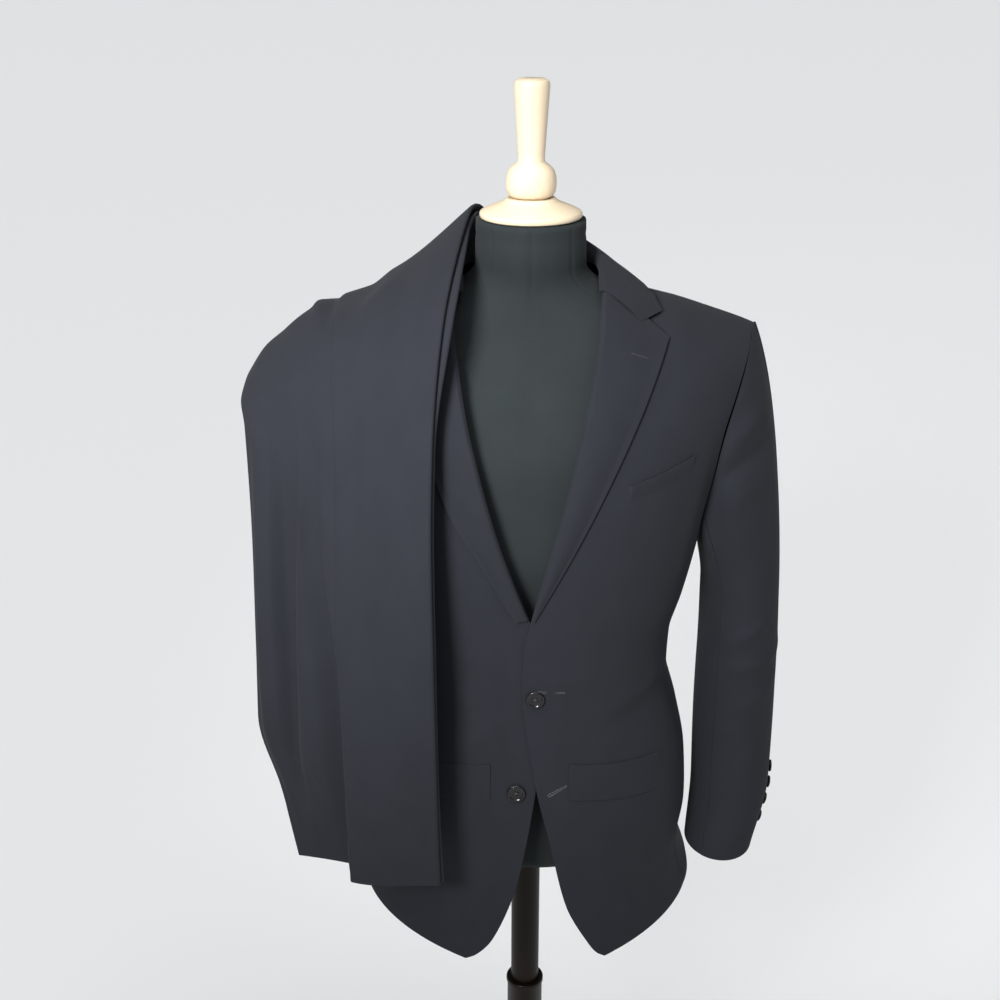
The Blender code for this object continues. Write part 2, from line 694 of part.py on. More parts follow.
def sleeves(cloth, horn):
    rows = steps(7, 0.0, 0.42) + steps(6, 0.42, 1.0)[1:]
    for name, side, arm in (("left", 1, LEFT_ARM), ("right", -1, RIGHT_ARM)):
        back_seam, front_seam = TOP_SLEEVE
        top = mirrored(sleeve_panel(arm, back_seam, front_seam), side)
        under = mirrored(sleeve_panel(arm, front_seam, back_seam + 1), side)
        wall(f"sleeve_top_{name}", top, steps(7), rows, cloth, turn=side)
        wall(f"sleeve_under_{name}", under, steps(7), rows, cloth, turn=side)
        for i in range(4):
            at = (0.01, 0.955 - 0.034 * i)
            whole = mirrored(sleeve_point(arm), side)
            normal = facing(whole, *at, side)
            seat = whole(*at) - normal * 0.0001 * (side > 0) * (i > 1)
            disc(f"cuff_button_{name}_{i + 1}", seat, normal, CUFF_BUTTON_R, CUFF_BUTTON_DEPTH, horn, 14)


# ---------------------------------------------------------------- trousers
def drape(w, row):
    """The surface that the pressed legs lie on: w from the neck side (0) to the outer edge (1)."""
    right, middle, left = (smooth(DRAPE, "row", c, row) for c in ("right", "middle", "left"))
    t = w
    curved = right * (1 - t) * (1 - 2 * t) + middle * 4 * t * (1 - t) + left * t * (2 * t - 1)
    inside = min(max(w, 0.0), 1.0)
    wave = BACK_WAVE * ease((row - BACK_WAVE_ROW) / 4) * (1 - math.cos(4 * math.pi * inside)) / 2
    dip = 0.0149 * math.sin(2 * math.pi * inside) + 0.00105 * (1 - math.cos(4 * math.pi * inside))
    bend = ease((row - 5.8) / 1.2) * ease((9.6 - row) / 1.6) * dip
    return Vector(curved) + Vector((0, wave, -bend))


def drape_normal(w, row):
    step = 1e-3
    low, high = max(row - step, 0.0), min(row + step, 13.0)
    return (drape(w, high) - drape(w, low)).cross(drape(w + step, row) - drape(w - step, row)).normalized()


def fold_height(w, row):
    """How far the upper leg's folds stand out from the drape."""
    ridge_at, ridge, step_at, step, strip = (
        smooth(FOLDS, "row", c, row) for c in ("ridge_at", "ridge", "step_at", "step", "strip")
    )
    rising = math.sin(math.pi / 2 * max(w, 0) / ridge_at)
    main = ridge * (rising if w <= ridge_at else 1 - ease((w - ridge_at) / 0.06))
    mid = ridge_at + 0.06
    second = step * (ease((w - mid) / 0.08) if w <= step_at else 1 - ease((w - step_at) / 0.05))
    edge = strip * ease((w - 0.84) / 0.06) * (1 - ease((w - 0.95) / 0.05))
    return main + max(second, 0.0) * (w > mid) + edge


def leg_surface(depth_below, folded, spread):
    """Outer face of one leg's upper layer, or of the layer under it, as a function of w, row and depth."""

    def at(w, row, depth):
        reach = spread * ease((row - 5.0) / 0.8) * ease((6.9 - row) / 0.9)
        place_w = w - reach * (1 - min(max(w, 0.0), 1.0))
        lift = fold_height(w, row) if folded else 0.0
        below = depth_below * (1 + 0.35 * ease((row - 6.0) / 1.5))
        return drape(place_w, row) + drape_normal(place_w, row) * (lift - below - depth)

    return at


def inner_edge(row, seam, crease):
    """Where the inner layer ends: at the inseam below the crotch, near the crease above it."""
    return mix(seam, mix(crease, seam, 0.30), ease((row - CROTCH_ROW) / 0.8))


def leg_panel(surface, crease, first_row, last_row):
    """Half a pressed leg: outseam (a = 0), outer layer, round the crease, inner layer to the inseam."""
    outer_end, turn_end = 0.50, 0.60
    radius = LEG_DEPTH / 2
    inset = 0.0015
    seam = 0.5 + (inset if crease > 0.5 else -inset)

    def point(a, b):
        row = mix(first_row, last_row, b)
        if a <= outer_end:
            return surface(mix(seam, crease, a / outer_end), row, 0.0)
        if a >= turn_end:
            back = (a - turn_end) / (1 - turn_end)
            return surface(mix(crease, inner_edge(row, seam, crease), back), row, LEG_DEPTH)
        angle = (a - outer_end) / (turn_end - outer_end) * math.pi
        outward = (surface(crease, row, radius) - surface(mix(crease, 0.5, 0.02), row, radius)).normalized()
        across = (surface(crease, row, 0.0) - surface(crease, row, LEG_DEPTH)).normalized()
        centre = surface(crease, row, radius)
        return centre + across * radius * math.cos(angle) + outward * radius * math.sin(angle)

    return point


LEGS = (  # name, how deep it lies under the drape, whether it carries the folds, reach to the neck side
    ("left", 0.0, True, 0.0),
    ("right", LEG_DEPTH + LEG_GAP, False, 0.028),
)


def trousers(cloth):
    seam_rows = 0.012
    last_row = WAIST_SEAM_ROW - seam_rows
    columns = steps(6, 0.0, 0.5) + [0.55] + steps(3, 0.6, 1.0)
    rows = [row / last_row for row in LEG_ROWS] + [1.0]
    for name, below, folded, spread in LEGS:
        surface = leg_surface(below, folded, spread)
        for half, crease, turn in (("front", 0.0, 1), ("back", 1.0, -1)):
            panel = leg_panel(surface, crease, 0.0, last_row)
            wall(f"trouser_{half}_{name}", panel, columns, rows, cloth, turn=turn)
            band = leg_panel(surface, crease, WAIST_SEAM_ROW + seam_rows, 13.0)
            wall(f"waistband_{half}_{name}", band, columns, [0.0, 1.0], cloth, turn=turn)


def patch_point(surface, w, row, out):
    """A patch on the legs between two places across and two rows, moved out from the cloth."""
    return lambda a, b: surface(mix(w[0], w[1], a), mix(row[0], row[1], b), -out)


def trouser_trim(cloth):
    surface = leg_surface(0.0, True, 0.0)
    out = CLOTH + 0.0004
    for i, w in enumerate((1 / 6, 1 / 3, 5 / 6)):
        loop = patch_point(surface, (w - 0.018, w + 0.018), (12.38, 12.98), out)
        wall(f"belt_loop_{i + 1}", loop, steps(1), steps(3), cloth, turn=-1)
    welt = patch_point(surface, (0.60, 0.92), (11.55, 11.68), out)
    wall("back_pocket_welt", welt, steps(6), steps(1), cloth, turn=-1)


# ---------------------------------------------------------------- dress form and stand
def form_body(cover):
    mesh = bmesh.new()
    segments = 36
    loops = []
    for level in FORM:
        ring = bmesh.ops.create_circle(mesh, segments=segments, radius=1.0)["verts"]
        squareness = mix(2.2, 2.0, ease((level.z - 1.30) / 0.15))
        for i, vertex in enumerate(ring):
            angle = math.atan2(vertex.co.x, -vertex.co.y)
            depth = level.front if math.cos(angle) > 0 else level.back
            x = math.copysign(abs(math.sin(angle)) ** (2 / squareness), math.sin(angle))
            y = math.copysign(abs(math.cos(angle)) ** (2 / squareness), -math.cos(angle))
            shift = RIDGE_Y * ease((level.z - 1.36) / 0.06) * ease((1.50 - level.z) / 0.05)
            vertex.co = (level.half_width * x, depth * y + shift, level.z)
        loops.append([e for e in mesh.edges if all(v in ring for v in e.verts)])
    for low, high in zip(loops, loops[1:]):
        bmesh.ops.bridge_loops(mesh, edges=low + high)
    bmesh.ops.holes_fill(mesh, edges=mesh.edges[:], sides=0)
    bmesh.ops.recalc_face_normals(mesh, faces=mesh.faces[:])
    return place("form_torso", mesh, cover)


def stand(dark_wood, pale_wood):
    turned("base", BASE, dark_wood, 64)
    bore = POLE_R + 0.0003
    tube = (
        Turn(bore, POLE_FOOT_Z - 0.002),
        Turn(bore, LOWER_TUBE_TOP_Z),
        Turn(LOWER_TUBE_R - 0.0010, LOWER_TUBE_TOP_Z),
        Turn(LOWER_TUBE_R, LOWER_TUBE_TOP_Z - 0.0012),
        Turn(LOWER_TUBE_R, BASE_H + 0.0003),
    )
    turned("lower_tube", tube, dark_wood, 32)
    pole = (Turn(POLE_R, POLE_FOOT_Z), Turn(POLE_R, FORM_BOTTOM_Z - 0.0003))
    turned("pole", pole, dark_wood, 32)
    turned("neck_cap", CAP, pale_wood, 40)
    turned("finial", FINIAL, pale_wood, 32)


# ---------------------------------------------------------------- the whole part
for old in list(bpy.data.objects):
    bpy.data.objects.remove(old, do_unlink=True)

suiting = finish("navy_wool", (0.012, 0.014, 0.022), 0.85)
horn = finish("black_horn_button", (0.010, 0.010, 0.012), 0.30)
form_cloth = finish("black_form_cover", (0.012, 0.012, 0.013), 0.90)
beech = finish("pale_beech", (0.72, 0.55, 0.36), 0.35)
walnut = finish("dark_walnut", (0.022, 0.012, 0.009), 0.30)

jacket_body(suiting)
lapels_and_collar(suiting)
pockets(suiting)
front_buttons(horn)
sleeves(suiting, horn)
trousers(suiting)
trouser_trim(suiting)
form_body(form_cloth)
stand(walnut, beech)
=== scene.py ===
"""A navy two-piece suit on a limbless dress form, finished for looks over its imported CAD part.

The suit faces -Y, +X is the wearer's left and +Z is up, in metres. The file follows the object as it is put
together: the stand, the form, the jacket from its body to its buttons, and the trousers over the shoulder.
"""

import math
from collections import namedtuple

import bmesh
import bpy
from mathutils import Matrix, Vector


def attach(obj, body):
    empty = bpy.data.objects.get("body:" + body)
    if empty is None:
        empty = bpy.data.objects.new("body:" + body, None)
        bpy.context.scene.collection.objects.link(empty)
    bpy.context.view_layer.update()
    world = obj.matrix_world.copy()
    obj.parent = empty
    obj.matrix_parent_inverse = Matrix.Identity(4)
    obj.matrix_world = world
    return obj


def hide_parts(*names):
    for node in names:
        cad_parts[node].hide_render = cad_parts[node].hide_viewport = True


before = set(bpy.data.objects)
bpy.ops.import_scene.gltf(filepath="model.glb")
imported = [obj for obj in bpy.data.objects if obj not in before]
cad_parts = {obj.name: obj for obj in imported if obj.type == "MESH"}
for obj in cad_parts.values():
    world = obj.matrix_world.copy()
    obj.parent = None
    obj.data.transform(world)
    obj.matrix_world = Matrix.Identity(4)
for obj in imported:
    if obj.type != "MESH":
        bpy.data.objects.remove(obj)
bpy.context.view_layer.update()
scene = bpy.context.scene

# ---------------------------------------------------------------- the studio
# A pale floor that runs out of sight under a broad skylight, a softbox in front on the wearer's right that
# falls off towards the hem, and an even white room. The camera looks down a little at the chest.
CAMERA_AT = (-0.030, -1.360, 1.780)
LOOK_DOWN = math.radians(22)


def added(name, data):
    """A new object of the scene: a camera, a light or a mesh."""
    made = bpy.data.objects.new(name, data)
    scene.collection.objects.link(made)
    return made


def shaped(name, mesh):
    """A new object of the scene with the shape that a bmesh has."""
    data = bpy.data.meshes.new(name)
    mesh.to_mesh(data)
    mesh.free()
    return added(name, data)


camera = added("camera", bpy.data.cameras.new("camera"))
camera.data.lens = 50.4
camera.data.sensor_width = 36.0
camera.data.clip_end = 200.0
camera.location = CAMERA_AT
camera.rotation_euler = (math.pi / 2 - LOOK_DOWN, 0, 0)
scene.camera = camera

Lamp = namedtuple("Lamp", "name kind at aim numbers")
SOFTBOX = {"energy": 4.0, "size": 0.50, "spread": 0.78}
SKYLIGHT = {"energy": 2.3, "angle": 1.05}
for lamp in (
    Lamp("softbox", "AREA", (-0.68, -1.50, 2.05), (-0.17, -0.15, 1.43), SOFTBOX),
    Lamp("skylight", "SUN", (-0.15, -0.80, 3.00), (0.0, 0.0, 0.0), SKYLIGHT),
):
    source = added(lamp.name, bpy.data.lights.new(lamp.name, lamp.kind))
    for setting, value in lamp.numbers.items():
        setattr(source.data, setting, value)
    source.location = lamp.at
    source.rotation_euler = (Vector(lamp.aim) - Vector(lamp.at)).to_track_quat("-Z", "Y").to_euler()

room = bpy.data.worlds.new("room")
room.use_nodes = True
walls = room.node_tree.nodes["Background"]
walls.inputs["Color"].default_value = (0.93, 0.95, 0.97, 1.0)
walls.inputs["Strength"].default_value = 0.22
scene.world = room
scene.view_settings.view_transform = "Standard"

floor_mesh = bmesh.new()
bmesh.ops.create_circle(floor_mesh, cap_ends=True, segments=96, radius=60.0)
floor = shaped("floor", floor_mesh)


# ---------------------------------------------------------------- stand: base, lower tube and pole
# Three turned pieces of hardwood, stained nearly black and lacquered: a round foot, a sleeve screwed into
# it and the pole that slides in the sleeve and carries the form. Each is turned on a lathe.
class Wire:
    """One output of a material's node. Arithmetic on it adds Math nodes."""

    def __init__(self, finish, socket):
        self.finish = finish
        self.socket = socket

    def math(self, operation, *values):
        return self.finish.node("ShaderNodeMath", {"operation": operation}, dict(enumerate(values)))

    def __add__(self, other):
        return self.math("ADD", self, other)

    __radd__ = __add__

    def __mul__(self, other):
        return self.math("MULTIPLY", self, other)

    __rmul__ = __mul__

    def wave(self, pitch):
        """0 to 1 and back once in each pitch."""
        return self.math("SINE", self * (2 * math.pi / pitch)) * 0.5 + 0.5


class Finish:
    """A material: a Principled shader with its fixed numbers, and one way to add any other node."""

    def __init__(self, name, **numbers):
        self.material = bpy.data.materials.new(name)
        self.material.use_nodes = True
        self.tree = self.material.node_tree
        self.shader = self.tree.nodes["Principled BSDF"]
        for socket, value in numbers.items():
            self.shader.inputs[socket.replace("_", " ")].default_value = value

    def node(self, kind, settings, inputs, output=0):
        made = self.tree.nodes.new(kind)
        for setting, value in settings.items():
            if setting == "stops":
                self.set_stops(made.color_ramp, value)
            else:
                setattr(made, setting, value)
        for socket, value in inputs.items():
            self.feed(made.inputs[socket], value)
        return Wire(self, made.outputs[output])

    def set_stops(self, ramp, stops):
        while len(ramp.elements) < len(stops):
            ramp.elements.new(1.0)
        for element, (position, colour) in zip(ramp.elements, stops):
            element.position = position
            element.color = (*colour, 1.0)

    def feed(self, socket, value):
        if isinstance(value, Wire):
            self.tree.links.new(value.socket, socket)
        else:
            socket.default_value = value

    def place(self, output="Object"):
        return self.node("ShaderNodeTexCoord", {}, {}, output)

    def part(self, vector, axis):
        return self.node("ShaderNodeSeparateXYZ", {}, {0: vector}, axis)

    def stretched(self, vector, scale):
        return self.node("ShaderNodeMapping", {}, {"Vector": vector, "Scale": scale})

    def noise(self, vector, scale, detail=3.0, roughness=0.55):
        inputs = {"Vector": vector, "Scale": scale, "Detail": detail, "Roughness": roughness}
        return self.node("ShaderNodeTexNoise", {}, inputs)

    def blended(self, share, first, second):
        """One colour turning into another."""
        return self.node(
            "ShaderNodeMix", {"data_type": "RGBA"}, {0: share, 6: (*first, 1.0), 7: (*second, 1.0)}, 2
        )

    def bumped(self, height, distance, strength=1.0):
        inputs = {"Height": height, "Distance": distance, "Strength": strength}
        self.feed(self.shader.inputs["Normal"], self.node("ShaderNodeBump", {}, inputs))

    def shows(self, socket, value):
        self.feed(self.shader.inputs[socket], value)


def wood(name, dark, pale, roughness, coat, gloss):
    """Turned wood: rings stretched along the pole's axis, fine pores and a thin lacquer."""
    finish = Finish(name, Coat_Weight=coat, Coat_Roughness=0.12, Specular_IOR_Level=gloss)
    here = finish.place()
    long_grain = finish.noise(finish.stretched(here, (42.0, 42.0, 3.2)), 1.0, 5.0, 0.62)
    pores = finish.noise(finish.stretched(here, (700.0, 700.0, 26.0)), 1.0, 2.0)
    finish.shows("Base Color", finish.blended(long_grain * 0.75 + pores * 0.25, dark, pale))
    finish.shows("Roughness", pores * 0.16 + (roughness - 0.08))
    finish.bumped(pores, 0.00006, 0.5)
    return finish.material


walnut = wood("dark_stained_wood", (0.0050, 0.0030, 0.0018), (0.0130, 0.0080, 0.0045), 0.42, 0.03, 0.12)


def table(columns, *rows):
    """Rows of numbers under named columns."""
    row_type = namedtuple("Row", columns)
    return tuple(row_type(*row) for row in rows)


def finished(name, mesh, material):
    """A smooth-shaded piece of its own, on the part's one body."""
    piece = shaped(name, mesh)
    piece.data.materials.append(material)
    piece.data.shade_smooth()
    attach(piece, "root")
    return piece


def spun(mesh, steps):
    """Closes a mesh into a ring: all that is in it goes once round the Z axis."""
    line = mesh.verts[:] + mesh.edges[:]
    bmesh.ops.spin(
        mesh, geom=line, cent=(0, 0, 0), axis=(0, 0, 1), angle=2 * math.pi, steps=steps, use_merge=True
    )
    bmesh.ops.remove_doubles(mesh, verts=mesh.verts[:], dist=1e-7)
    bmesh.ops.recalc_face_normals(mesh, faces=mesh.faces[:])
    return mesh


def lathe(profile, steps, radius=1.0, depth=1.0):
    """A turned solid. Its profile is in metres, or in shares of a radius and a depth."""
    mesh = bmesh.new()
    points = [mesh.verts.new((turn.r * radius, 0.0, turn.z * depth)) for turn in profile]
    for pair in zip(points, points[1:]):
        mesh.edges.new(pair)
    return spun(mesh, steps)


def turned(node, profile, material, segments=96, softened=0.0006):
    """A turned piece that stands for a CAD node, with its arrises eased."""
    piece = finished(f"{node}_turned", lathe(profile, segments), material)
    eased = piece.modifiers.new("eased", "BEVEL")
    eased.width = softened
    eased.segments = 2
    eased.angle_limit = math.radians(35)
    eased.harden_normals = True
    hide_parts(node)


BASE_R = 0.215
BASE_H = 0.030
TUBE_R = 0.0220
TUBE_TOP = 0.610
POLE_R = 0.0165
POLE_FOOT = 0.500
FORM_BOTTOM = 0.840
foot_profile = table(
    "r z",
    (0.0, 0.0),
    (0.2100, 0.0),
    (BASE_R, 0.0050),
    (BASE_R, 0.0140),
    (0.2120, 0.0185),
    (0.2050, 0.0200),
    (0.1500, 0.0215),
    (0.0900, 0.0255),
    (0.0620, 0.0270),
    (0.0450, BASE_H),
    (0.0, BASE_H),
)
tube_profile = table(
    "r z",
    (POLE_R + 0.0003, POLE_FOOT - 0.002),
    (POLE_R + 0.0003, TUBE_TOP),
    (TUBE_R - 0.0010, TUBE_TOP),
    (TUBE_R, TUBE_TOP - 0.0012),
    (TUBE_R, TUBE_TOP - 0.0060),
    (TUBE_R - 0.0012, TUBE_TOP - 0.0085),
    (TUBE_R - 0.0012, BASE_H + 0.0300),
    (TUBE_R, BASE_H + 0.0200),
    (TUBE_R, BASE_H + 0.0003),
    (0.0, BASE_H + 0.0003),
)
pole_profile = table(
    "r z",
    (0.0, POLE_FOOT),
    (POLE_R, POLE_FOOT),
    (POLE_R, FORM_BOTTOM - 0.0003),
    (0.0, FORM_BOTTOM - 0.0003),
)
turned("base", foot_profile, walnut, 128)
turned("lower_tube", tube_profile, walnut, 64)
turned("pole", pole_profile, walnut, 64)

floor_finish = Finish("pale_floor", Base_Color=(0.86, 0.87, 0.88, 1.0), Roughness=0.75)
floor.data.materials.append(floor_finish.material)


# ---------------------------------------------------------------- dress form: neck cap and handle
# Two pieces of pale beech, turned and clear-lacquered: a flat domed cap that closes the neck, and the
# handle with its ball, waist and tapered grip, which is screwed through the cap.
beech = wood("pale_beech", (0.64, 0.50, 0.33), (0.80, 0.69, 0.52), 0.36, 0.20, 0.3)

cap_profile = table(
    "r z",
    (0.0, 1.5253),
    (0.0460, 1.5253),
    (0.0492, 1.5268),
    (0.0500, 1.5287),
    (0.0500, 1.5305),
    (0.0492, 1.5322),
    (0.0440, 1.5350),
    (0.0380, 1.5375),
    (0.0310, 1.5402),
    (0.0270, 1.5420),
    (0.0248, 1.5440),
    (0.0235, 1.5452),
    (0.0, 1.5452),
)
handle_profile = table(
    "r z",
    (0.0, 1.5455),
    (0.0180, 1.5455),
    (0.0215, 1.5475),
    (0.0236, 1.5510),
    (0.0245, 1.5560),
    (0.0246, 1.5610),
    (0.0240, 1.5660),
    (0.0222, 1.5710),
    (0.0190, 1.5750),
    (0.0152, 1.5775),
    (0.0135, 1.5790),
    (0.0129, 1.5815),
    (0.0130, 1.5860),
    (0.0140, 1.6000),
    (0.0150, 1.6150),
    (0.0161, 1.6310),
    (0.0172, 1.6480),
    (0.0170, 1.6510),
    (0.0160, 1.6535),
    (0.0120, 1.6555),
    (0.0, 1.6555),
)
turned("neck_cap", cap_profile, beech, softened=0.0004)
turned("finial", handle_profile, beech, softened=0.0004)


# ---------------------------------------------------------------- dress form: the padded torso
# A hollow moulded torso under a black stretched cotton cover, which is sewn from panels with seams at the
# centre, sides and neck. Only the neck and the chest between the fronts show.
def cloth_finish(name, dark, pale, thread, sheen, slub):
    """Woven cloth: two sets of threads, fibres along them and a slow change of tone."""
    numbers = {"Sheen_Weight": sheen, "Sheen_Roughness": 0.5, "Specular_IOR_Level": 0.06}
    finish = Finish(name, **numbers)
    flat = finish.place("UV")
    warp = finish.part(flat, 0).wave(thread)
    weft = finish.part(flat, 1).wave(thread)
    twill = (finish.part(flat, 0) + finish.part(flat, 1)).wave(thread * 2)
    fibre = finish.noise(finish.stretched(flat, (1500.0, 420.0, 1.0)), 1.0, 2.0)
    tone = finish.noise(flat, 22.0, 3.0)
    weave = warp * weft * 0.45 + twill * 0.30 + fibre * 0.25
    finish.shows("Base Color", finish.blended(weave * (1 - slub) + tone * slub, dark, pale))
    finish.shows("Roughness", fibre * 0.12 + 0.80)
    finish.bumped(weave, 0.00012, 0.6)
    return finish.material


BLACKS = ((0.0140, 0.0175, 0.0185), (0.0340, 0.0400, 0.0420))
cotton = cloth_finish("black_cotton_cover", *BLACKS, thread=0.0011, sheen=0.03, slub=0.3)

TORSO = table(
    "z half_width front back",
    (0.840, 0.138, 0.100, 0.100),
    (0.852, 0.144, 0.106, 0.106),
    (0.900, 0.146, 0.112, 0.110),
    (0.980, 0.138, 0.110, 0.100),
    (1.060, 0.127, 0.106, 0.090),
    (1.140, 0.138, 0.112, 0.096),
    (1.220, 0.156, 0.122, 0.108),
    (1.300, 0.168, 0.122, 0.114),
    (1.360, 0.176, 0.106, 0.110),
    (1.400, 0.180, 0.088, 0.096),
    (1.418, 0.178, 0.076, 0.086),
    (1.4275, 0.1735, 0.070, 0.078),
    (1.4365, 0.147, 0.066, 0.070),
    (1.4465, 0.112, 0.062, 0.064),
    (1.4560, 0.087, 0.0585, 0.060),
    (1.4660, 0.066, 0.0555, 0.057),
    (1.4800, 0.0555, 0.0540, 0.055),
    (1.5250, 0.0540, 0.0540, 0.054),
)
RIDGE_Y = 0.012
READ = {}


def mix(a, b, t):
    return a + (b - a) * t


def ease(t):
    t = min(max(t, 0.0), 1.0)
    return t * t * (3 - 2 * t)


def slopes_of(xs, ys):
    """The slope at each row of a table, limited so that the curve doesn't overshoot."""
    steps_up = [(ys[i + 1] - ys[i]) / (xs[i + 1] - xs[i]) for i in range(len(xs) - 1)]
    inner = [2 * p * q / (p + q) if p * q > 0 else 0.0 for p, q in zip(steps_up, steps_up[1:])]
    return [steps_up[0], *inner, steps_up[-1]]


def smooth(rows, by, column, at):
    """A column of a table read at any place. A column of points gives a point."""
    key = (rows, column)
    if key not in READ:
        xs = [getattr(row, by) for row in rows]
        values = [getattr(row, column) for row in rows]
        parts = list(zip(*values)) if isinstance(values[0], tuple) else [values]
        READ[key] = xs, [(part, slopes_of(xs, part)) for part in parts]
    xs, parts = READ[key]
    at = min(max(at, xs[0]), xs[-1])
    i = 0
    while i < len(xs) - 2 and at > xs[i + 1]:
        i += 1
    width = xs[i + 1] - xs[i]
    t = (at - xs[i]) / width
    here = [
        (1 + 2 * t) * (1 - t) ** 2 * ys[i]
        + t * (1 - t) ** 2 * width * slopes[i]
        + t * t * (3 - 2 * t) * ys[i + 1]
        + t * t * (t - 1) * width * slopes[i + 1]
        for ys, slopes in parts
    ]
    return here[0] if len(here) == 1 else Vector(here)


def torso_point(a, b):
    """The covered form: a round it from the centre back, b from its underside to the neck's top."""
    z = mix(TORSO[0].z, TORSO[-1].z, b)
    angle = (a - 0.5) * 2 * math.pi
    width, front, back = (smooth(TORSO, "z", c, z) for c in ("half_width", "front", "back"))
    squareness = mix(2.2, 2.0, ease((z - 1.30) / 0.15))
    depth = front if math.cos(angle) > 0 else back
    x = math.copysign(abs(math.sin(angle)) ** (2 / squareness), math.sin(angle))
    y = math.copysign(abs(math.cos(angle)) ** (2 / squareness), -math.cos(angle))
    shift = RIDGE_Y * ease((z - 1.36) / 0.06) * ease((1.50 - z) / 0.05)
    seam = min(abs(a - k / 8) for k in range(9)) * width * 5.5
    neck_seam = abs(z - 1.512) / 0.0016
    sunk = 0.0009 * math.exp(-((seam / 0.0016) ** 2)) + 0.0007 * math.exp(-(neck_seam**2))
    return Vector((width * x, depth * y + shift, z)) - Vector((x, y, 0)) * (sunk + 0.0004)


def grid_of(point, columns, rows, width, length):
    """A bmesh grid laid on point(a, b), with its UV map in metres of flat cloth."""
    mesh = bmesh.new()
    unwrapped = mesh.loops.layers.uv.new("flat")
    made = bmesh.ops.create_grid(mesh, x_segments=columns, y_segments=rows, size=0.5)
    for face in mesh.faces:
        for loop in face.loops:
            loop[unwrapped].uv = ((loop.vert.co.x + 0.5) * width, (loop.vert.co.y + 0.5) * length)
    for vertex in made["verts"]:
        vertex.co = point(vertex.co.x + 0.5, vertex.co.y + 0.5)
    return mesh


torso_mesh = grid_of(torso_point, 160, 150, 0.95, 0.70)
bmesh.ops.remove_doubles(torso_mesh, verts=torso_mesh.verts[:], dist=1e-5)
bmesh.ops.holes_fill(torso_mesh, edges=torso_mesh.edges[:], sides=0)
bmesh.ops.recalc_face_normals(torso_mesh, faces=torso_mesh.faces[:])
torso = finished("torso_cover", torso_mesh, cotton)
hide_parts("form_torso")


# ---------------------------------------------------------------- jacket: fronts, side panels and backs
# Fine navy worsted, cut as two fronts with a narrow side panel and two backs, sewn at the side, centre back
# and shoulder. Canvas in the fronts holds the chest smooth; the left front laps over the right.
CLOTH = 0.0016
SEAM = 0.0004
ROUNDNESS = 2.4
HEM_SIDE_Z = 0.792
HEM_BACK_Z = 0.772
CHEST_Z = 1.240
UNDERARM_Z = 1.205
ARMHOLE_SIDE_Z = 1.233
SIDE_SEAM = 0.95
BACK_NECK_Z = 1.462
NECK_X = 0.074
VENT_TOP_Z = 0.985
VENT_GAP = 0.003

NAVIES = ((0.0120, 0.0131, 0.0168), (0.0312, 0.0342, 0.0422))
wool = cloth_finish("navy_worsted", *NAVIES, thread=0.0009, sheen=0.03, slub=0.25)

JACKET = table(  # outer face of the body, measured from the pole's axis
    "z half_width front back",
    (0.750, 0.188, 0.152, 0.140),
    (0.790, 0.186, 0.151, 0.141),
    (0.820, 0.177, 0.150, 0.142),
    (0.850, 0.172, 0.150, 0.142),
    (0.893, 0.177, 0.149, 0.138),
    (0.950, 0.174, 0.146, 0.128),
    (1.000, 0.164, 0.141, 0.118),
    (1.060, 0.150, 0.137, 0.111),
    (1.100, 0.1515, 0.138, 0.113),
    (1.146, 0.1637, 0.141, 0.118),
    (1.180, 0.1716, 0.143, 0.123),
    (1.240, 0.184, 0.145, 0.131),
    (1.300, 0.203, 0.145, 0.135),
    (1.360, 0.225, 0.145, 0.136),
    (1.420, 0.250, 0.145, 0.136),
    (1.540, 0.280, 0.145, 0.136),
)
SHOULDER_RIDGE = table(
    "x z",
    (0.000, 1.500),
    (0.030, 1.500),
    (0.050, 1.491),
    (0.072, 1.476),
    (0.090, 1.465),
    (0.113, 1.4535),
    (0.147, 1.4445),
    (0.177, 1.435),
    (0.222, 1.4195),
    (0.260, 1.400),
)
ARMHOLE = table(
    "z x",
    (1.233, 0.1734),
    (1.273, 0.1800),
    (1.319, 0.1875),
    (1.360, 0.2004),
    (1.397, 0.2137),
    (1.416, 0.2210),
    (1.4195, 0.2265),
)
LEFT_EDGE = table(  # wearer's left front, on top: hem corner, cutaway, front edge, roll line
    "z x",
    (0.757, 0.0830),
    (0.763, 0.0740),
    (0.779, 0.0632),
    (0.8265, 0.0398),
    (0.910, 0.0208),
    (0.959, 0.0089),
    (1.018, -0.0018),
    (1.058, -0.0069),
    (1.089, -0.0081),
    (1.126, -0.0064),
    (1.159, 0.0002),
    (1.270, 0.0284),
    (1.311, 0.0382),
    (1.367, 0.0507),
    (1.4166, 0.0611),
    (1.457, 0.0671),
    (1.4835, 0.0740),
)
RIGHT_EDGE = table(  # wearer's right front, underneath, x counted towards the wearer's right
    "z x",
    (0.757, 0.0670),
    (0.763, 0.0560),
    (0.7844, 0.0375),
    (0.8454, 0.0142),
    (0.9068, 0.0020),
    (0.9589, -0.0058),
    (1.020, -0.0130),
    (1.080, -0.0150),
    (1.126, -0.0110),
    (1.159, 0.0012),
    (1.248, 0.0328),
    (1.325, 0.0533),
    (1.365, 0.0625),
    (1.405, 0.0691),
    (1.442, 0.0740),
    (1.4835, 0.0745),
)

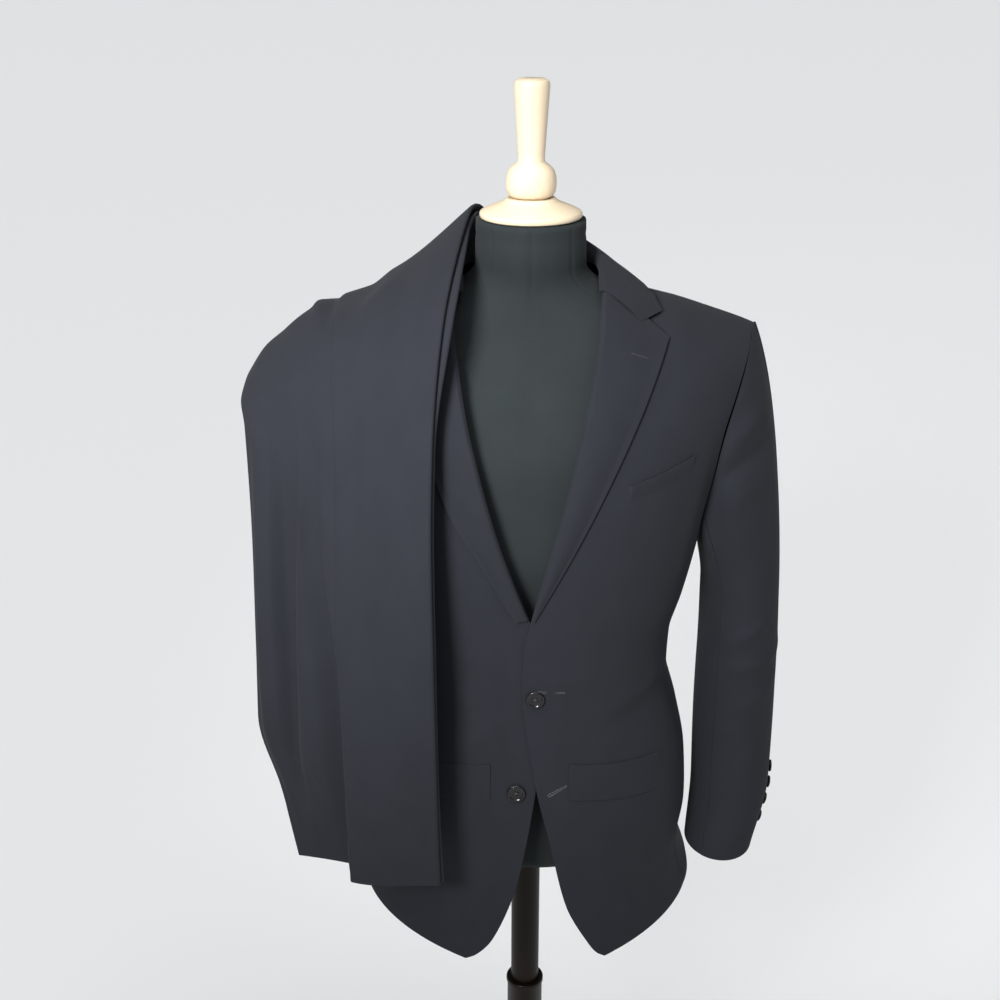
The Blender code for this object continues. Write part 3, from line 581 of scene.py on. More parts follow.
LEFT_FRONT_CREASES = table(  # soft ridges (or troughs, below zero) along a line on the front
    "x0 z0 x1 z1 width height",
    (0.078, 1.048, 0.150, 1.075, 0.010, 0.0022),
    (0.085, 1.034, 0.130, 1.044, 0.009, -0.0024),
    (0.012, 1.064, 0.080, 1.030, 0.011, 0.0012),
    (0.014, 1.080, 0.110, 1.110, 0.014, 0.0010),
    (0.150, 1.180, 0.172, 1.330, 0.010, 0.0020),
    (0.140, 0.990, 0.150, 0.840, 0.016, 0.0016),
)
RIGHT_FRONT_CREASES = table(
    "x0 z0 x1 z1 width height",
    (0.008, 1.062, 0.085, 1.000, 0.014, 0.0026),
    (0.004, 1.078, 0.090, 1.060, 0.012, 0.0014),
    (0.012, 1.090, 0.100, 1.130, 0.014, 0.0010),
    (0.040, 0.980, 0.095, 0.900, 0.020, 0.0018),
    (0.150, 1.180, 0.172, 1.330, 0.010, 0.0016),
    (0.140, 0.990, 0.150, 0.840, 0.016, 0.0014),
)
BACK_CREASES = table(
    "x0 z0 x1 z1 width height",
    (0.060, 1.110, 0.150, 1.060, 0.012, 0.0030),
    (0.070, 1.085, 0.150, 1.030, 0.010, -0.0022),
    (0.130, 1.190, 0.165, 1.320, 0.012, 0.0030),
    (0.030, 1.050, 0.080, 1.020, 0.014, 0.0016),
    (0.100, 0.960, 0.120, 0.820, 0.020, 0.0022),
    (0.040, 0.940, 0.050, 0.800, 0.016, -0.0016),
)


def creased(creases, x, z):
    """How far a set of soft creases stands out at a place; each one fades towards its ends."""
    total = 0.0
    for crease in creases:
        dx, dz = crease.x1 - crease.x0, crease.z1 - crease.z0
        along = ((x - crease.x0) * dx + (z - crease.z0) * dz) / (dx * dx + dz * dz)
        t = min(max(along, 0.0), 1.0)
        away = math.hypot(x - crease.x0 - dx * t, z - crease.z0 - dz * t) / crease.width
        if away < 2.6:
            total += crease.height * math.exp(-away * away) * (0.35 + 0.65 * math.sin(math.pi * t))
    return total


def ridge_z(x):
    return smooth(SHOULDER_RIDGE, "x", "z", x)


def chest_closing(x, z, power):
    """1 up to the chest line, falling to 0 at the shoulder ridge as a rounded arc."""
    if z <= CHEST_Z:
        return 1.0
    t = min((z - CHEST_Z) / (ridge_z(x) - CHEST_Z), 1.0)
    return math.sqrt(max(0.0, 1 - t**power))


def depth_share(x, z):
    share = min(abs(x) / smooth(JACKET, "z", "half_width", z), 1.0)
    return (1 - share**ROUNDNESS) ** (1 / ROUNDNESS)


def front_y(x, z):
    closing = chest_closing(x, z, 2.2)
    depth = smooth(JACKET, "z", "front", z) * depth_share(x, z)
    return (RIDGE_Y - SEAM / 2) * (1 - closing) - depth * closing


def back_y(x, z):
    closing = chest_closing(x, z, 2.8)
    depth = smooth(JACKET, "z", "back", z) * depth_share(x, z)
    return (RIDGE_Y + SEAM / 2) * (1 - closing) + depth * closing


def side_point(angle, z):
    """A point of the body's section, by its angle from the centre front."""
    half_width = smooth(JACKET, "z", "half_width", z)
    depth = smooth(JACKET, "z", "front" if angle < math.pi / 2 else "back", z)
    across = abs(math.sin(angle)) ** (2 / ROUNDNESS)
    along = abs(math.cos(angle)) ** (2 / ROUNDNESS)
    return Vector((half_width * across, -math.copysign(depth * along, math.cos(angle)), z))


SEAM_ANGLE = math.asin(SIDE_SEAM ** (ROUNDNESS / 2))


def side_top_z(angle):
    share = (math.pi / 2 - angle) / (math.pi / 2 - SEAM_ANGLE)
    return UNDERARM_Z + (ARMHOLE_SIDE_Z - UNDERARM_Z) * share * share


def armhole_x(z):
    return smooth(ARMHOLE, "z", "x", z)


def side_x(z):
    return SIDE_SEAM * smooth(JACKET, "z", "half_width", z)


def outward(x, z, surface, sign):
    """The unit normal of a front (sign 1) or back (sign -1) at a place."""
    step = 0.0005
    by_x = (surface(x + step, z) - surface(x - step, z)) / (2 * step)
    by_z = (surface(x, z) - surface(x, z - step)) / step
    return Vector((by_x, -1.0, by_z)).normalized() * sign


def front_point(edge, overlap, creases):
    """One front from its edge or roll line (a = 0) to the side seam or armhole (a = 1), hem to shoulder."""
    split = 0.66

    def point(a, b):
        if b <= split:
            t = b / split
            inner_z = mix(edge[0].z, ARMHOLE_SIDE_Z, t**1.45)
            outer_z = mix(HEM_SIDE_Z, ARMHOLE_SIDE_Z, t)
            z = mix(inner_z, outer_z, a)
            x = mix(smooth(edge, "z", "x", inner_z), side_x(outer_z) - SEAM / 4, a)
        else:
            t = math.sin((b - split) / (1 - split) * math.pi / 2)
            x, z = 0.1, 1.3
            for _ in range(8):
                z = mix(ARMHOLE_SIDE_Z, ridge_z(x), t)
                outer_z = mix(ARMHOLE_SIDE_Z, ARMHOLE[-1].z, t)
                x = mix(smooth(edge, "z", "x", z), armhole_x(outer_z) - SEAM / 2, a)
        under = overlap * ease((0.055 - x) / 0.035) * ease((1.22 - z) / 0.05)
        relief = creased(creases, x, z) * min(1.0, 6 * a, 12 * (1 - a))
        here = Vector((x, front_y(x, z) + under, z))
        return here + outward(x, z, front_y, 1) * relief if relief else here

    return point


def back_point(a, b):
    """One back: a from the centre seam to the side seam or armhole, b from the hem to the shoulder."""
    split = 0.60
    neck_share = 0.35
    if b <= split:
        t = b / split
        z = mix(mix(HEM_BACK_Z, HEM_SIDE_Z, ease(a)), ARMHOLE_SIDE_Z, t)
        inner_x = VENT_GAP / 2 if z < VENT_TOP_Z else SEAM / 2
        x = mix(inner_x, side_x(z) - SEAM / 4, a)
    else:
        t = math.sin((b - split) / (1 - split) * math.pi / 2)
        outer_z = mix(ARMHOLE_SIDE_Z, ARMHOLE[-1].z, t)
        outer_x = armhole_x(outer_z) - SEAM / 2
        neck_x = mix(mix(0, outer_x, neck_share), NECK_X, t)
        if a <= neck_share:
            x = mix(SEAM / 2, neck_x, a / neck_share)
            top = mix(BACK_NECK_Z, ridge_z(NECK_X), ease(a / neck_share) ** 2)
        else:
            x = mix(neck_x, outer_x, (a - neck_share) / (1 - neck_share))
            top = ridge_z(x) if x > NECK_X else mix(ridge_z(NECK_X), ridge_z(max(x, 0.05)), 1 - t)
        z = mix(ARMHOLE_SIDE_Z, top, t)
    relief = creased(BACK_CREASES, x, z) * min(1.0, 8 * a, 12 * (1 - a))
    here = Vector((x, back_y(x, z), z))
    return here + outward(x, z, back_y, -1) * relief if relief else here


def side_panel_point(a, b):
    start = SEAM_ANGLE + 0.0010
    angle = mix(start, math.pi - start, a)
    hem = mix(HEM_SIDE_Z, HEM_SIDE_Z - 0.004, a)
    return side_point(angle, mix(hem, side_top_z(angle), b))


def mirrored(point, side):
    """The same surface for the wearer's left (1) or right (-1)."""

    def turned_over(a, b):
        here = point(a, b)
        return Vector((here.x * side, here.y, here.z))

    return turned_over


EDGE_ROUNDING = 0.34  # of the cloth's thickness


def sewn(node, point, cells, cut, turn=1, thick=CLOTH):
    """A piece of suiting that stands for a CAD node: one layer with turned, slightly rounded edges."""
    mesh = grid_of(point, cells[0], cells[1], cut[0], cut[1])
    if turn < 0:
        bmesh.ops.reverse_faces(mesh, faces=mesh.faces[:])
    piece = finished(f"{node}_cloth", mesh, wool)
    layer = piece.modifiers.new("layer", "SOLIDIFY")
    layer.thickness = thick
    layer.offset = -1
    layer.use_even_offset = True
    rounded = piece.modifiers.new("turned_edge", "BEVEL")
    rounded.width = thick * EDGE_ROUNDING
    rounded.segments = 2
    rounded.angle_limit = math.radians(50)
    rounded.harden_normals = True
    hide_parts(node)


BodyCut = namedtuple("BodyCut", "side name edge overlap creases")
for cut in (
    BodyCut(1, "left", LEFT_EDGE, 0.0, LEFT_FRONT_CREASES),
    BodyCut(-1, "right", RIGHT_EDGE, 0.0026, RIGHT_FRONT_CREASES),
):
    front = mirrored(front_point(cut.edge, cut.overlap, cut.creases), cut.side)
    side_panel = mirrored(side_panel_point, cut.side)
    back = mirrored(back_point, cut.side)
    sewn(f"front_{cut.name}", front, (48, 104), (0.26, 0.72), turn=cut.side)
    sewn(f"side_{cut.name}", side_panel, (22, 60), (0.13, 0.44), turn=cut.side)
    sewn(f"back_{cut.name}", back, (44, 96), (0.235, 0.72), turn=-cut.side)


# ---------------------------------------------------------------- jacket: lapels and collar
# The lapels are the fronts' own cloth, turned back at the roll line over the canvas; the collar's fall
# lies over them and is sewn to them at the gorge. The roll is soft and the outer edges lie flat.
LAPEL_BOTTOM_Z = 1.162
GORGE_Z = 1.466
LEFT_LAPEL = table(
    "z x",
    (1.160, 0.0035),
    (1.2305, 0.0394),
    (1.3177, 0.0812),
    (1.367, 0.1046),
    (1.4215, 0.1305),
)
RIGHT_LAPEL = table(
    "z x",
    (1.160, 0.0150),
    (1.2276, 0.0529),
    (1.2674, 0.0763),
    (1.3136, 0.0947),
    (1.4215, 0.136),
)
COLLAR = table(  # from the gorge seam round to the centre back: foot of the stand, fold, edge of the fall
    "place foot fold edge",
    (0.00, (0.0655, -0.0400, 1.4620), (0.0696, -0.0476, 1.4654), (0.1270, -0.0363, 1.4431)),
    (0.12, (0.0655, -0.0240, 1.4690), (0.0707, -0.0295, 1.4755), (0.1270, -0.0363, 1.4431)),
    (0.28, (0.0665, -0.0060, 1.4740), (0.0700, -0.0070, 1.4845), (0.1190, -0.0120, 1.4548)),
    (0.42, (0.0655, 0.0120, 1.4750), (0.0685, 0.0130, 1.4890), (0.1085, 0.0150, 1.4612)),
    (0.56, (0.0625, 0.0290, 1.4745), (0.0645, 0.0320, 1.4905), (0.0985, 0.0440, 1.4600)),
    (0.75, (0.0400, 0.0640, 1.4680), (0.0410, 0.0670, 1.5000), (0.0610, 0.0900, 1.4610)),
    (1.00, (0.0000, 0.0830, 1.4660), (0.0000, 0.0850, 1.5060), (0.0000, 0.1060, 1.4600)),
)
COLLAR_TIP = 0.12
NOTCH = (0.1043, -0.0613, 1.4386)
ROLL_R = 0.0030


def on_front(x, z, lift):
    """A point of the front's outer face, moved out along the surface."""
    return Vector((x, front_y(x, z), z)) + outward(x, z, front_y, 1) * lift


def lapel_point(edge, outer):
    def point(a, b):
        inner_z = mix(LAPEL_BOTTOM_Z, GORGE_Z, b)
        outer_z = mix(outer[0].z, outer[-1].z, b)
        inner_x = smooth(edge, "z", "x", inner_z) + 0.0004
        outer_x = smooth(outer, "z", "x", outer_z)
        x = mix(inner_x, outer_x, a)
        z = mix(inner_z, outer_z, a)
        from_roll = a * math.hypot(outer_x - inner_x, outer_z - inner_z)
        rounding = math.sqrt(max(0.0, 1 - (1 - min(from_roll / ROLL_R, 1.0)) ** 2))
        belly = 0.0026 * math.sin(math.pi * min(1.0, a * 1.15)) * math.sin(math.pi * b) ** 0.5
        lift = (CLOTH + 0.0008 + 0.0014 * b) * rounding + 0.0002 + belly
        return on_front(x, z, lift)

    return point


def collar_point(a, b):
    """The collar's outer face: a up the stand and down the fall, b from the gorge to the centre back."""
    foot, fold, edge = (smooth(COLLAR, "place", part, b) for part in ("foot", "fold", "edge"))
    if b < COLLAR_TIP:
        edge = Vector(NOTCH).lerp(edge, b / COLLAR_TIP)
    turn_at = 0.40
    away = Vector((edge.x - foot.x, edge.y - foot.y, 0)).normalized()
    if a <= turn_at:
        t = a / turn_at
        return foot.lerp(fold, t) - away * 0.0012 * math.sin(math.pi * t)
    t = (a - turn_at) / (1 - turn_at)
    bulge = mix(0.0012, 0.0050, ease((b - 0.45) / 0.35)) + 0.0014 * ease((0.25 - b) / 0.20)
    return fold.lerp(edge, t) + (Vector((0, 0, bulge)) + away * bulge * 0.7) * math.sin(math.pi * t)


def collar_round(a, b):
    """The whole collar, from the wearer's left gorge (b = 0) round the neck to the right (b = 1)."""
    half = collar_point(a, 1 - abs(2 * b - 1))
    return Vector((half.x if b <= 0.5 else -half.x, half.y, half.z))


for name, side, edge, outer in (("left", 1, LEFT_EDGE, LEFT_LAPEL), ("right", -1, RIGHT_EDGE, RIGHT_LAPEL)):
    lapel = mirrored(lapel_point(edge, outer), side)
    front = f"front_{name}_cloth"
    sewn(f"lapel_{name}", lapel, (40, 90), (0.07, 0.31), turn=side)
sewn("collar", collar_round, (40, 110), (0.085, 0.36))


# ---------------------------------------------------------------- jacket: breast welt and pocket flaps
# The breast pocket is closed by a slanted welt, sewn down at both ends, and each hip pocket by a flap
# that hangs from its seam. They are cut from the same cloth as the front that they lie on.
def strip_point(start, end, drop, lift):
    """A strip on the front: its top edge runs from start to end (x, z) and it hangs down by drop."""

    def point(a, b):
        top = mix(start[1], end[1], a)
        return on_front(mix(start[0], end[0], a), top - drop * (1 - b), lift)

    return point


WELT = ((0.0906, 1.2972), (0.1590, 1.3195), 0.022)
FLAP = ((0.0400, 0.9965), (0.1380, 0.9865), 0.040)


def welt_point(a, b):
    """The breast welt: free along its slightly sagging top, sunk into the front at its ends and foot."""
    start, end, drop = WELT
    free = ease(b) * ease(18 * a) * ease(18 * (1 - a))
    top = mix(start[1], end[1], a) - 0.0016 * math.sin(math.pi * a)
    return on_front(mix(start[0], end[0], a), top - drop * (1 - b), mix(-0.0005, 0.0019, free))


sewn("breast_welt", welt_point, (60, 16), (0.075, 0.022), thick=0.0008)
for name, side in (("left", 1), ("right", -1)):
    flap = mirrored(strip_point(*FLAP, 0.0012), side)
    front = f"front_{name}_cloth"
    sewn(f"pocket_flap_{name}", flap, (44, 16), (0.105, 0.042), side, thick=0.0009)


# ---------------------------------------------------------------- jacket: sleeves
# Each sleeve is a top and an under sleeve, seamed down the front and the back and set into the armhole
# over a small shoulder pad. The cloth wrinkles below the sleeve head and at the elbow.
LEFT_ARM = table(
    "z x y half_width half_depth",
    (0.843, 0.2135, -0.045, 0.0365, 0.0460),
    (0.910, 0.2270, -0.018, 0.0425, 0.0520),
    (0.980, 0.2285, -0.004, 0.0435, 0.0570),
    (1.060, 0.2285, 0.000, 0.0425, 0.0610),
    (1.140, 0.2265, 0.000, 0.0410, 0.0640),
)
RIGHT_ARM = table(
    "z x y half_width half_depth",
    (0.850, 0.2160, 0.014, 0.0330, 0.0470),
    (0.910, 0.2200, 0.010, 0.0345, 0.0510),
    (0.980, 0.2225, 0.008, 0.0360, 0.0550),
    (1.060, 0.2225, 0.006, 0.0360, 0.0580),
    (1.140, 0.2215, 0.004, 0.0360, 0.0600),
)
ARM_ROUND = 0.33
SLEEVE_CREASES = table(  # x is the distance round the sleeve from its outer line, towards the front
    "x0 z0 x1 z1 width height",
    (0.060, 1.385, 0.098, 1.340, 0.008, 0.0040),
    (0.045, 1.362, 0.100, 1.322, 0.008, -0.0036),
    (0.038, 1.345, 0.105, 1.298, 0.008, 0.0046),
    (0.025, 1.318, 0.108, 1.274, 0.008, -0.0040),
    (0.030, 1.288, 0.095, 1.250, 0.010, 0.0016),
    (0.050, 1.120, 0.115, 1.085, 0.009, 0.0030),
    (0.020, 1.075, 0.100, 1.060, 0.008, 0.0026),
    (0.030, 1.040, 0.095, 1.010, 0.010, 0.0022),
    (-0.060, 1.080, -0.010, 1.050, 0.012, 0.0026),
    (-0.070, 1.020, -0.020, 1.010, 0.012, 0.0020),
    (0.060, 0.960, 0.100, 0.900, 0.014, 0.0016),
    (-0.090, 1.260, -0.060, 1.160, 0.012, 0.0026),
)


def armhole_point(q):
    """Round the armhole: q = 0 at the shoulder, 0.25 in front, 0.5 at the underarm, 0.75 behind."""
    behind = q > 0.5
    s = 2 * (1 - q if behind else q)
    z = mix(UNDERARM_Z, ARMHOLE[-1].z, (1 + math.cos(math.pi * s)) / 2)
    if z >= ARMHOLE_SIDE_Z:
        x = armhole_x(z)
        return Vector((x, back_y(x, z) if behind else front_y(x, z), z))
    share = math.sqrt(max(0.0, (z - UNDERARM_Z) / (ARMHOLE_SIDE_Z - UNDERARM_Z)))
    angle = math.pi / 2 - share * (math.pi / 2 - SEAM_ANGLE)
    return side_point(math.pi - angle if behind else angle, z)


def sleeve_point(arm, head_share=0.42):
    """One sleeve: q round it, b from the armhole (0) down to the cuff (1)."""

    def ring(q, z):
        x, y, w, d = (smooth(arm, "z", c, z) for c in ("x", "y", "half_width", "half_depth"))
        return Vector((x + w * math.cos(2 * math.pi * q), y - d * math.sin(2 * math.pi * q), z))

    def point(q, b):
        top_z, cuff_z = arm[-1].z, arm[0].z
        turn = 2 * math.pi * q
        if b > head_share:
            here = ring(q, mix(top_z, cuff_z, (b - head_share) / (1 - head_share)))
        else:
            t = b / head_share
            start = armhole_point(q % 1.0) + Vector((0.0003, 0, -0.0002))
            end = ring(q, top_z)
            length = max(start.z - top_z, 0.05)
            outer = 0.5 + 0.5 * math.cos(turn)
            leaving = Vector((0.30 * outer, -0.22 * math.sin(turn), -0.72)) * length
            arriving = (ring(q, top_z - 0.01) - end) * (length / 0.01)
            h = (2 * t**3 - 3 * t**2 + 1, t**3 - 2 * t**2 + t, 3 * t**2 - 2 * t**3, t**3 - t**2)
            here = start * h[0] + leaving * h[1] + end * h[2] + arriving * h[3]
        around = ((q + 0.5) % 1.0 - 0.5) * ARM_ROUND
        relief = creased(SLEEVE_CREASES, around, here.z) * min(1.0, 12 * b, 12 * (1 - b))
        return here + Vector((math.cos(turn), -math.sin(turn), 0.0)) * relief

    return point


TOP_SLEEVE = (-0.04, 0.36)
SEAM_TURN = 0.0010


def sleeve_panel(arm, start, end):
    whole = sleeve_point(arm)
    return lambda a, b: whole(mix(start + SEAM_TURN, end - SEAM_TURN, a), b)


for name, side, arm in (("left", 1, LEFT_ARM), ("right", -1, RIGHT_ARM)):
    back_seam, front_seam = TOP_SLEEVE
    top = mirrored(sleeve_panel(arm, back_seam, front_seam), side)
    under = mirrored(sleeve_panel(arm, front_seam, back_seam + 1), side)
    front = f"front_{name}_cloth"
    sewn(f"sleeve_top_{name}", top, (50, 130), (0.15, 0.60), turn=side)
    sewn(f"sleeve_under_{name}", under, (50, 120), (0.20, 0.50), turn=side)


# ---------------------------------------------------------------- jacket: buttons and buttonholes
# Polished black four-hole buttons, 19 mm in front and 14 mm at the cuffs: a rounded rim, a dished face and
# crossed thread. The holes are worked in a lighter navy twist that catches the light.
BUTTON_R = 0.0096
BUTTON_DEPTH = 0.0035
CUFF_BUTTON_R = 0.0068
CUFF_BUTTON_DEPTH = 0.0026
HOLE_AT = 0.175  # this and the next two are shares of the button's radius
HOLE_R = 0.095
THREAD_R = 0.052
SHANK = 0.0006  # how far the thread holds a front button off the cloth
CUFF_SHANK = 0.0005
CUFF_BUTTON_TURN = 0.01  # of the way round the sleeve from its outer line
FIRST_CUFF_BUTTON = 0.955  # of the way down the sleeve
CUFF_BUTTON_STEP = 0.034
FASTENED_BUTTON = (0.0050, 1.0716)
LOWER_BUTTON = (-0.0136, 0.9646)

horn = Finish("black_horn", Coat_Weight=0.25, Coat_Roughness=0.06, Specular_IOR_Level=0.25)
swirl = horn.noise(horn.stretched(horn.place(), (260.0, 260.0, 90.0)), 1.0, 4.0)
horn.shows("Base Color", horn.blended(swirl, (0.004, 0.004, 0.005), (0.014, 0.013, 0.014)))
horn.shows("Roughness", swirl * 0.10 + 0.20)
twist = Finish("navy_twist", Sheen_Weight=0.1)
ply = twist.noise(twist.stretched(twist.place(), (2400.0, 2400.0, 2400.0)), 1.0, 2.0)
twist.shows("Base Color", twist.blended(ply, (0.016, 0.017, 0.021), (0.052, 0.054, 0.062)))
twist.shows("Roughness", ply * 0.2 + 0.40)
twist.bumped(ply, 0.00015, 0.8)

BUTTON_PROFILE = table(  # shares of the button's radius and of its depth
    "r z",
    (0.00, 0.00),
    (0.80, 0.00),
    (0.95, 0.22),
    (1.00, 0.50),
    (0.98, 0.78),
    (0.91, 0.97),
    (0.84, 1.00),
    (0.76, 0.93),
    (0.70, 0.74),
    (0.60, 0.66),
    (0.30, 0.60),
    (0.00, 0.60),
)


def drilled(radius, depth):
    """A button's mesh: a turned disc with a raised rim and four holes through it."""
    disc = shaped("blank", lathe(BUTTON_PROFILE, 40, radius, depth))
    drills = bmesh.new()
    size = {"radius1": HOLE_R * radius, "radius2": HOLE_R * radius, "depth": depth * 2}
    for across in (-1, 1):
        for up in (-1, 1):
            at = Matrix.Translation((across * HOLE_AT * radius, up * HOLE_AT * radius, depth / 2))
            bmesh.ops.create_cone(drills, cap_ends=True, segments=14, matrix=at, **size)
    tool = shaped("drills", drills)
    holes = disc.modifiers.new("holes", "BOOLEAN")
    holes.object = tool
    holes.solver = "EXACT"
    bpy.context.view_layer.update()
    made = bpy.data.meshes.new_from_object(disc.evaluated_get(bpy.context.evaluated_depsgraph_get()))
    for helper in (disc, tool):
        bpy.data.objects.remove(helper)
    return made


def buttoned(node, seat, normal, radius, depth, spin=0.0):
    """A button sewn on at a place of the cloth, with its thread."""
    turn = Vector((0, 0, 1)).rotation_difference(normal).to_matrix().to_4x4()
    where = Matrix.Translation(seat) @ turn @ Matrix.Rotation(spin, 4, "Z")
    body = bmesh.new()
    body.from_mesh(DRILLED[radius])
    body.transform(where)
    button = finished(f"{node}_horn", body, horn.material)
    button.data.set_sharp_from_angle(angle=math.radians(38))
    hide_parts(node)
    stitches = bmesh.new()
    for slant in (math.pi / 4, -math.pi / 4):
        stitch = bmesh.ops.create_uvsphere(stitches, u_segments=10, v_segments=8, radius=1.0)["verts"]
        length, girth = HOLE_AT * radius * 1.62, THREAD_R * radius
        shape = Matrix.Rotation(slant, 4, "Z") @ Matrix.Diagonal((length, girth, girth, 1.0))
        in_dish = Matrix.Translation((0, 0, depth * 0.60))
        bmesh.ops.transform(stitches, matrix=in_dish @ shape, verts=stitch)
    stitches.transform(where)
    thread = finished(f"{node}_thread", stitches, twist.material)


def seat_on(piece, x, z):
    """Where a line along +Y meets a piece's outer face, and the face's normal there."""
    found = piece.ray_cast(
        Vector((x, -0.6, z)), Vector((0, 1, 0)), depsgraph=bpy.context.evaluated_depsgraph_get()
    )
    return found[1], found[2]


def buttonhole(name, piece, start, end, width, eyelet):
    """A worked buttonhole on a piece between two places (x, z): a stitched bead round a slit."""
    ends = [seat_on(piece, *place)[0] for place in (start, end)]
    normal = seat_on(piece, (start[0] + end[0]) / 2, (start[1] + end[1]) / 2)[1]
    length = (ends[1] - ends[0]).length
    bead = bmesh.new()
    upright = Matrix.Rotation(math.pi / 2, 4, "X")
    made = bmesh.ops.create_circle(bead, segments=10, radius=width * 0.30, matrix=upright)
    bmesh.ops.translate(bead, vec=(width / 2, 0, 0), verts=made["verts"])
    spun(bead, 32)
    for vertex in bead.verts:
        if vertex.co.x < 0:
            vertex.co.y *= eyelet
            vertex.co.x = vertex.co.x * eyelet - length / 2
        else:
            vertex.co.x += length / 2
    along = (ends[1] - ends[0]).normalized()
    across = normal.cross(along).normalized()
    turn = Matrix((along, across, along.cross(across))).transposed().to_4x4()
    bead.transform(Matrix.Translation((ends[0] + ends[1]) / 2) @ turn)
    worked = finished(name, bead, twist.material)


DRILLED = {
    BUTTON_R: drilled(BUTTON_R, BUTTON_DEPTH),
    CUFF_BUTTON_R: drilled(CUFF_BUTTON_R, CUFF_BUTTON_DEPTH),
}
left_front = bpy.data.objects["front_left_cloth"]
right_front = bpy.data.objects["front_right_cloth"]
left_lapel = bpy.data.objects["lapel_left_cloth"]
seat, normal = seat_on(left_front, *FASTENED_BUTTON)
buttoned("button_fastened", seat + normal * SHANK, normal, BUTTON_R, BUTTON_DEPTH, 0.2)
seat, normal = seat_on(right_front, *LOWER_BUTTON)
buttoned("button_lower", seat + normal * SHANK, normal, BUTTON_R, BUTTON_DEPTH, -0.3)
buttonhole("buttonhole_fastened", left_front, (0.0080, 1.0786), (0.0340, 1.0778), 0.0014, 1.5)
buttonhole("buttonhole_lower", left_front, (0.0205, 0.9625), (0.0378, 0.9722), 0.0014, 1.8)
buttonhole("buttonhole_lapel", left_lapel, (0.0939, 1.4156), (0.1090, 1.4100), 0.0008, 1.0)

for name, side, arm in (("left", 1, LEFT_ARM), ("right", -1, RIGHT_ARM)):
    whole = mirrored(sleeve_point(arm), side)
    for i in range(4):
        q, b = CUFF_BUTTON_TURN, FIRST_CUFF_BUTTON - CUFF_BUTTON_STEP * i
        seat = whole(q, b)
        normal = (whole(q + 0.004, b) - seat).cross(whole(q, b + 0.004) - seat).normalized() * side
        seat = seat + normal * CUFF_SHANK
        buttoned(f"cuff_button_{name}_{i + 1}", seat, normal, CUFF_BUTTON_R, CUFF_BUTTON_DEPTH, 0.4 * i)


# ---------------------------------------------------------------- trousers over the shoulder
# The trousers are pressed flat along their creases and folded once over the form's right shoulder, one leg
# on the other: both hems hang in front and the waist behind. Each leg is a front and a back, seamed at the
# side and the inseam. Soft folds run up from the hem.
LEG_DEPTH = 0.0044
LEG_GAP = 0.0018
CROTCH_ROW = 10.3
WAIST_SEAM_ROW = 12.5
BACK_WAVE = 0.018
BACK_WAVE_ROW = 9.0

DRAPE = table(  # the trousers' envelope from the hems, up the front, over the shoulder and down the back
    "row right middle left",
    (0, (-0.0930, -0.2000, 0.893), (-0.1680, -0.1620, 0.888), (-0.2390, -0.1400, 0.886)),
    (1, (-0.0945, -0.1960, 0.960), (-0.1740, -0.1600, 0.958), (-0.2580, -0.1170, 0.955)),
    (2, (-0.0952, -0.1910, 1.030), (-0.1800, -0.1550, 1.030), (-0.2800, -0.1000, 1.030)),
    (3, (-0.0962, -0.1850, 1.120), (-0.1830, -0.1450, 1.117), (-0.2787, -0.0900, 1.113)),
    (4, (-0.0969, -0.1770, 1.241), (-0.1840, -0.1350, 1.241), (-0.2760, -0.0820, 1.2415)),
    (5, (-0.0945, -0.1600, 1.345), (-0.1860, -0.1180, 1.340), (-0.2780, -0.0700, 1.335)),
    (6, (-0.0820, -0.1000, 1.466), (-0.1900, -0.0690, 1.4225), (-0.2840, -0.0450, 1.359)),
    (7, (-0.0590, 0.0400, 1.530), (-0.1900, 0.0150, 1.4508), (-0.2830, -0.0050, 1.371)),
    (8, (-0.0480, 0.0820, 1.520), (-0.1880, 0.0750, 1.434), (-0.2860, 0.0450, 1.349)),
    (9, (-0.0420, 0.1180, 1.485), (-0.1860, 0.1180, 1.375), (-0.2900, 0.0800, 1.285)),
    (10, (-0.0400, 0.1480, 1.420), (-0.1830, 0.1470, 1.300), (-0.2920, 0.1050, 1.205)),
    (11, (-0.0380, 0.1600, 1.350), (-0.1800, 0.1580, 1.225), (-0.2920, 0.1200, 1.120)),
    (12, (-0.0360, 0.1640, 1.275), (-0.1770, 0.1620, 1.150), (-0.2900, 0.1290, 1.040)),
    (13, (-0.0340, 0.1650, 1.200), (-0.1750, 0.1630, 1.080), (-0.2880, 0.1340, 0.960)),
)
FOLDS = table(  # soft folds of the upper leg: main ridge, second step and the strip along the outer edge
    "row ridge_at ridge step_at step strip",
    (0.0, 0.520, 0.028, 0.84, 0.000, 0.000),
    (1.1, 0.490, 0.024, 0.78, 0.007, 0.005),
    (2.1, 0.475, 0.019, 0.72, 0.013, 0.011),
    (2.9, 0.485, 0.015, 0.71, 0.014, 0.014),
    (3.5, 0.530, 0.010, 0.70, 0.011, 0.014),
    (4.0, 0.560, 0.005, 0.69, 0.007, 0.012),
    (4.7, 0.560, 0.001, 0.68, 0.002, 0.007),
    (5.5, 0.560, 0.000, 0.68, 0.000, 0.000),
    (13.0, 0.560, 0.000, 0.68, 0.000, 0.000),
)
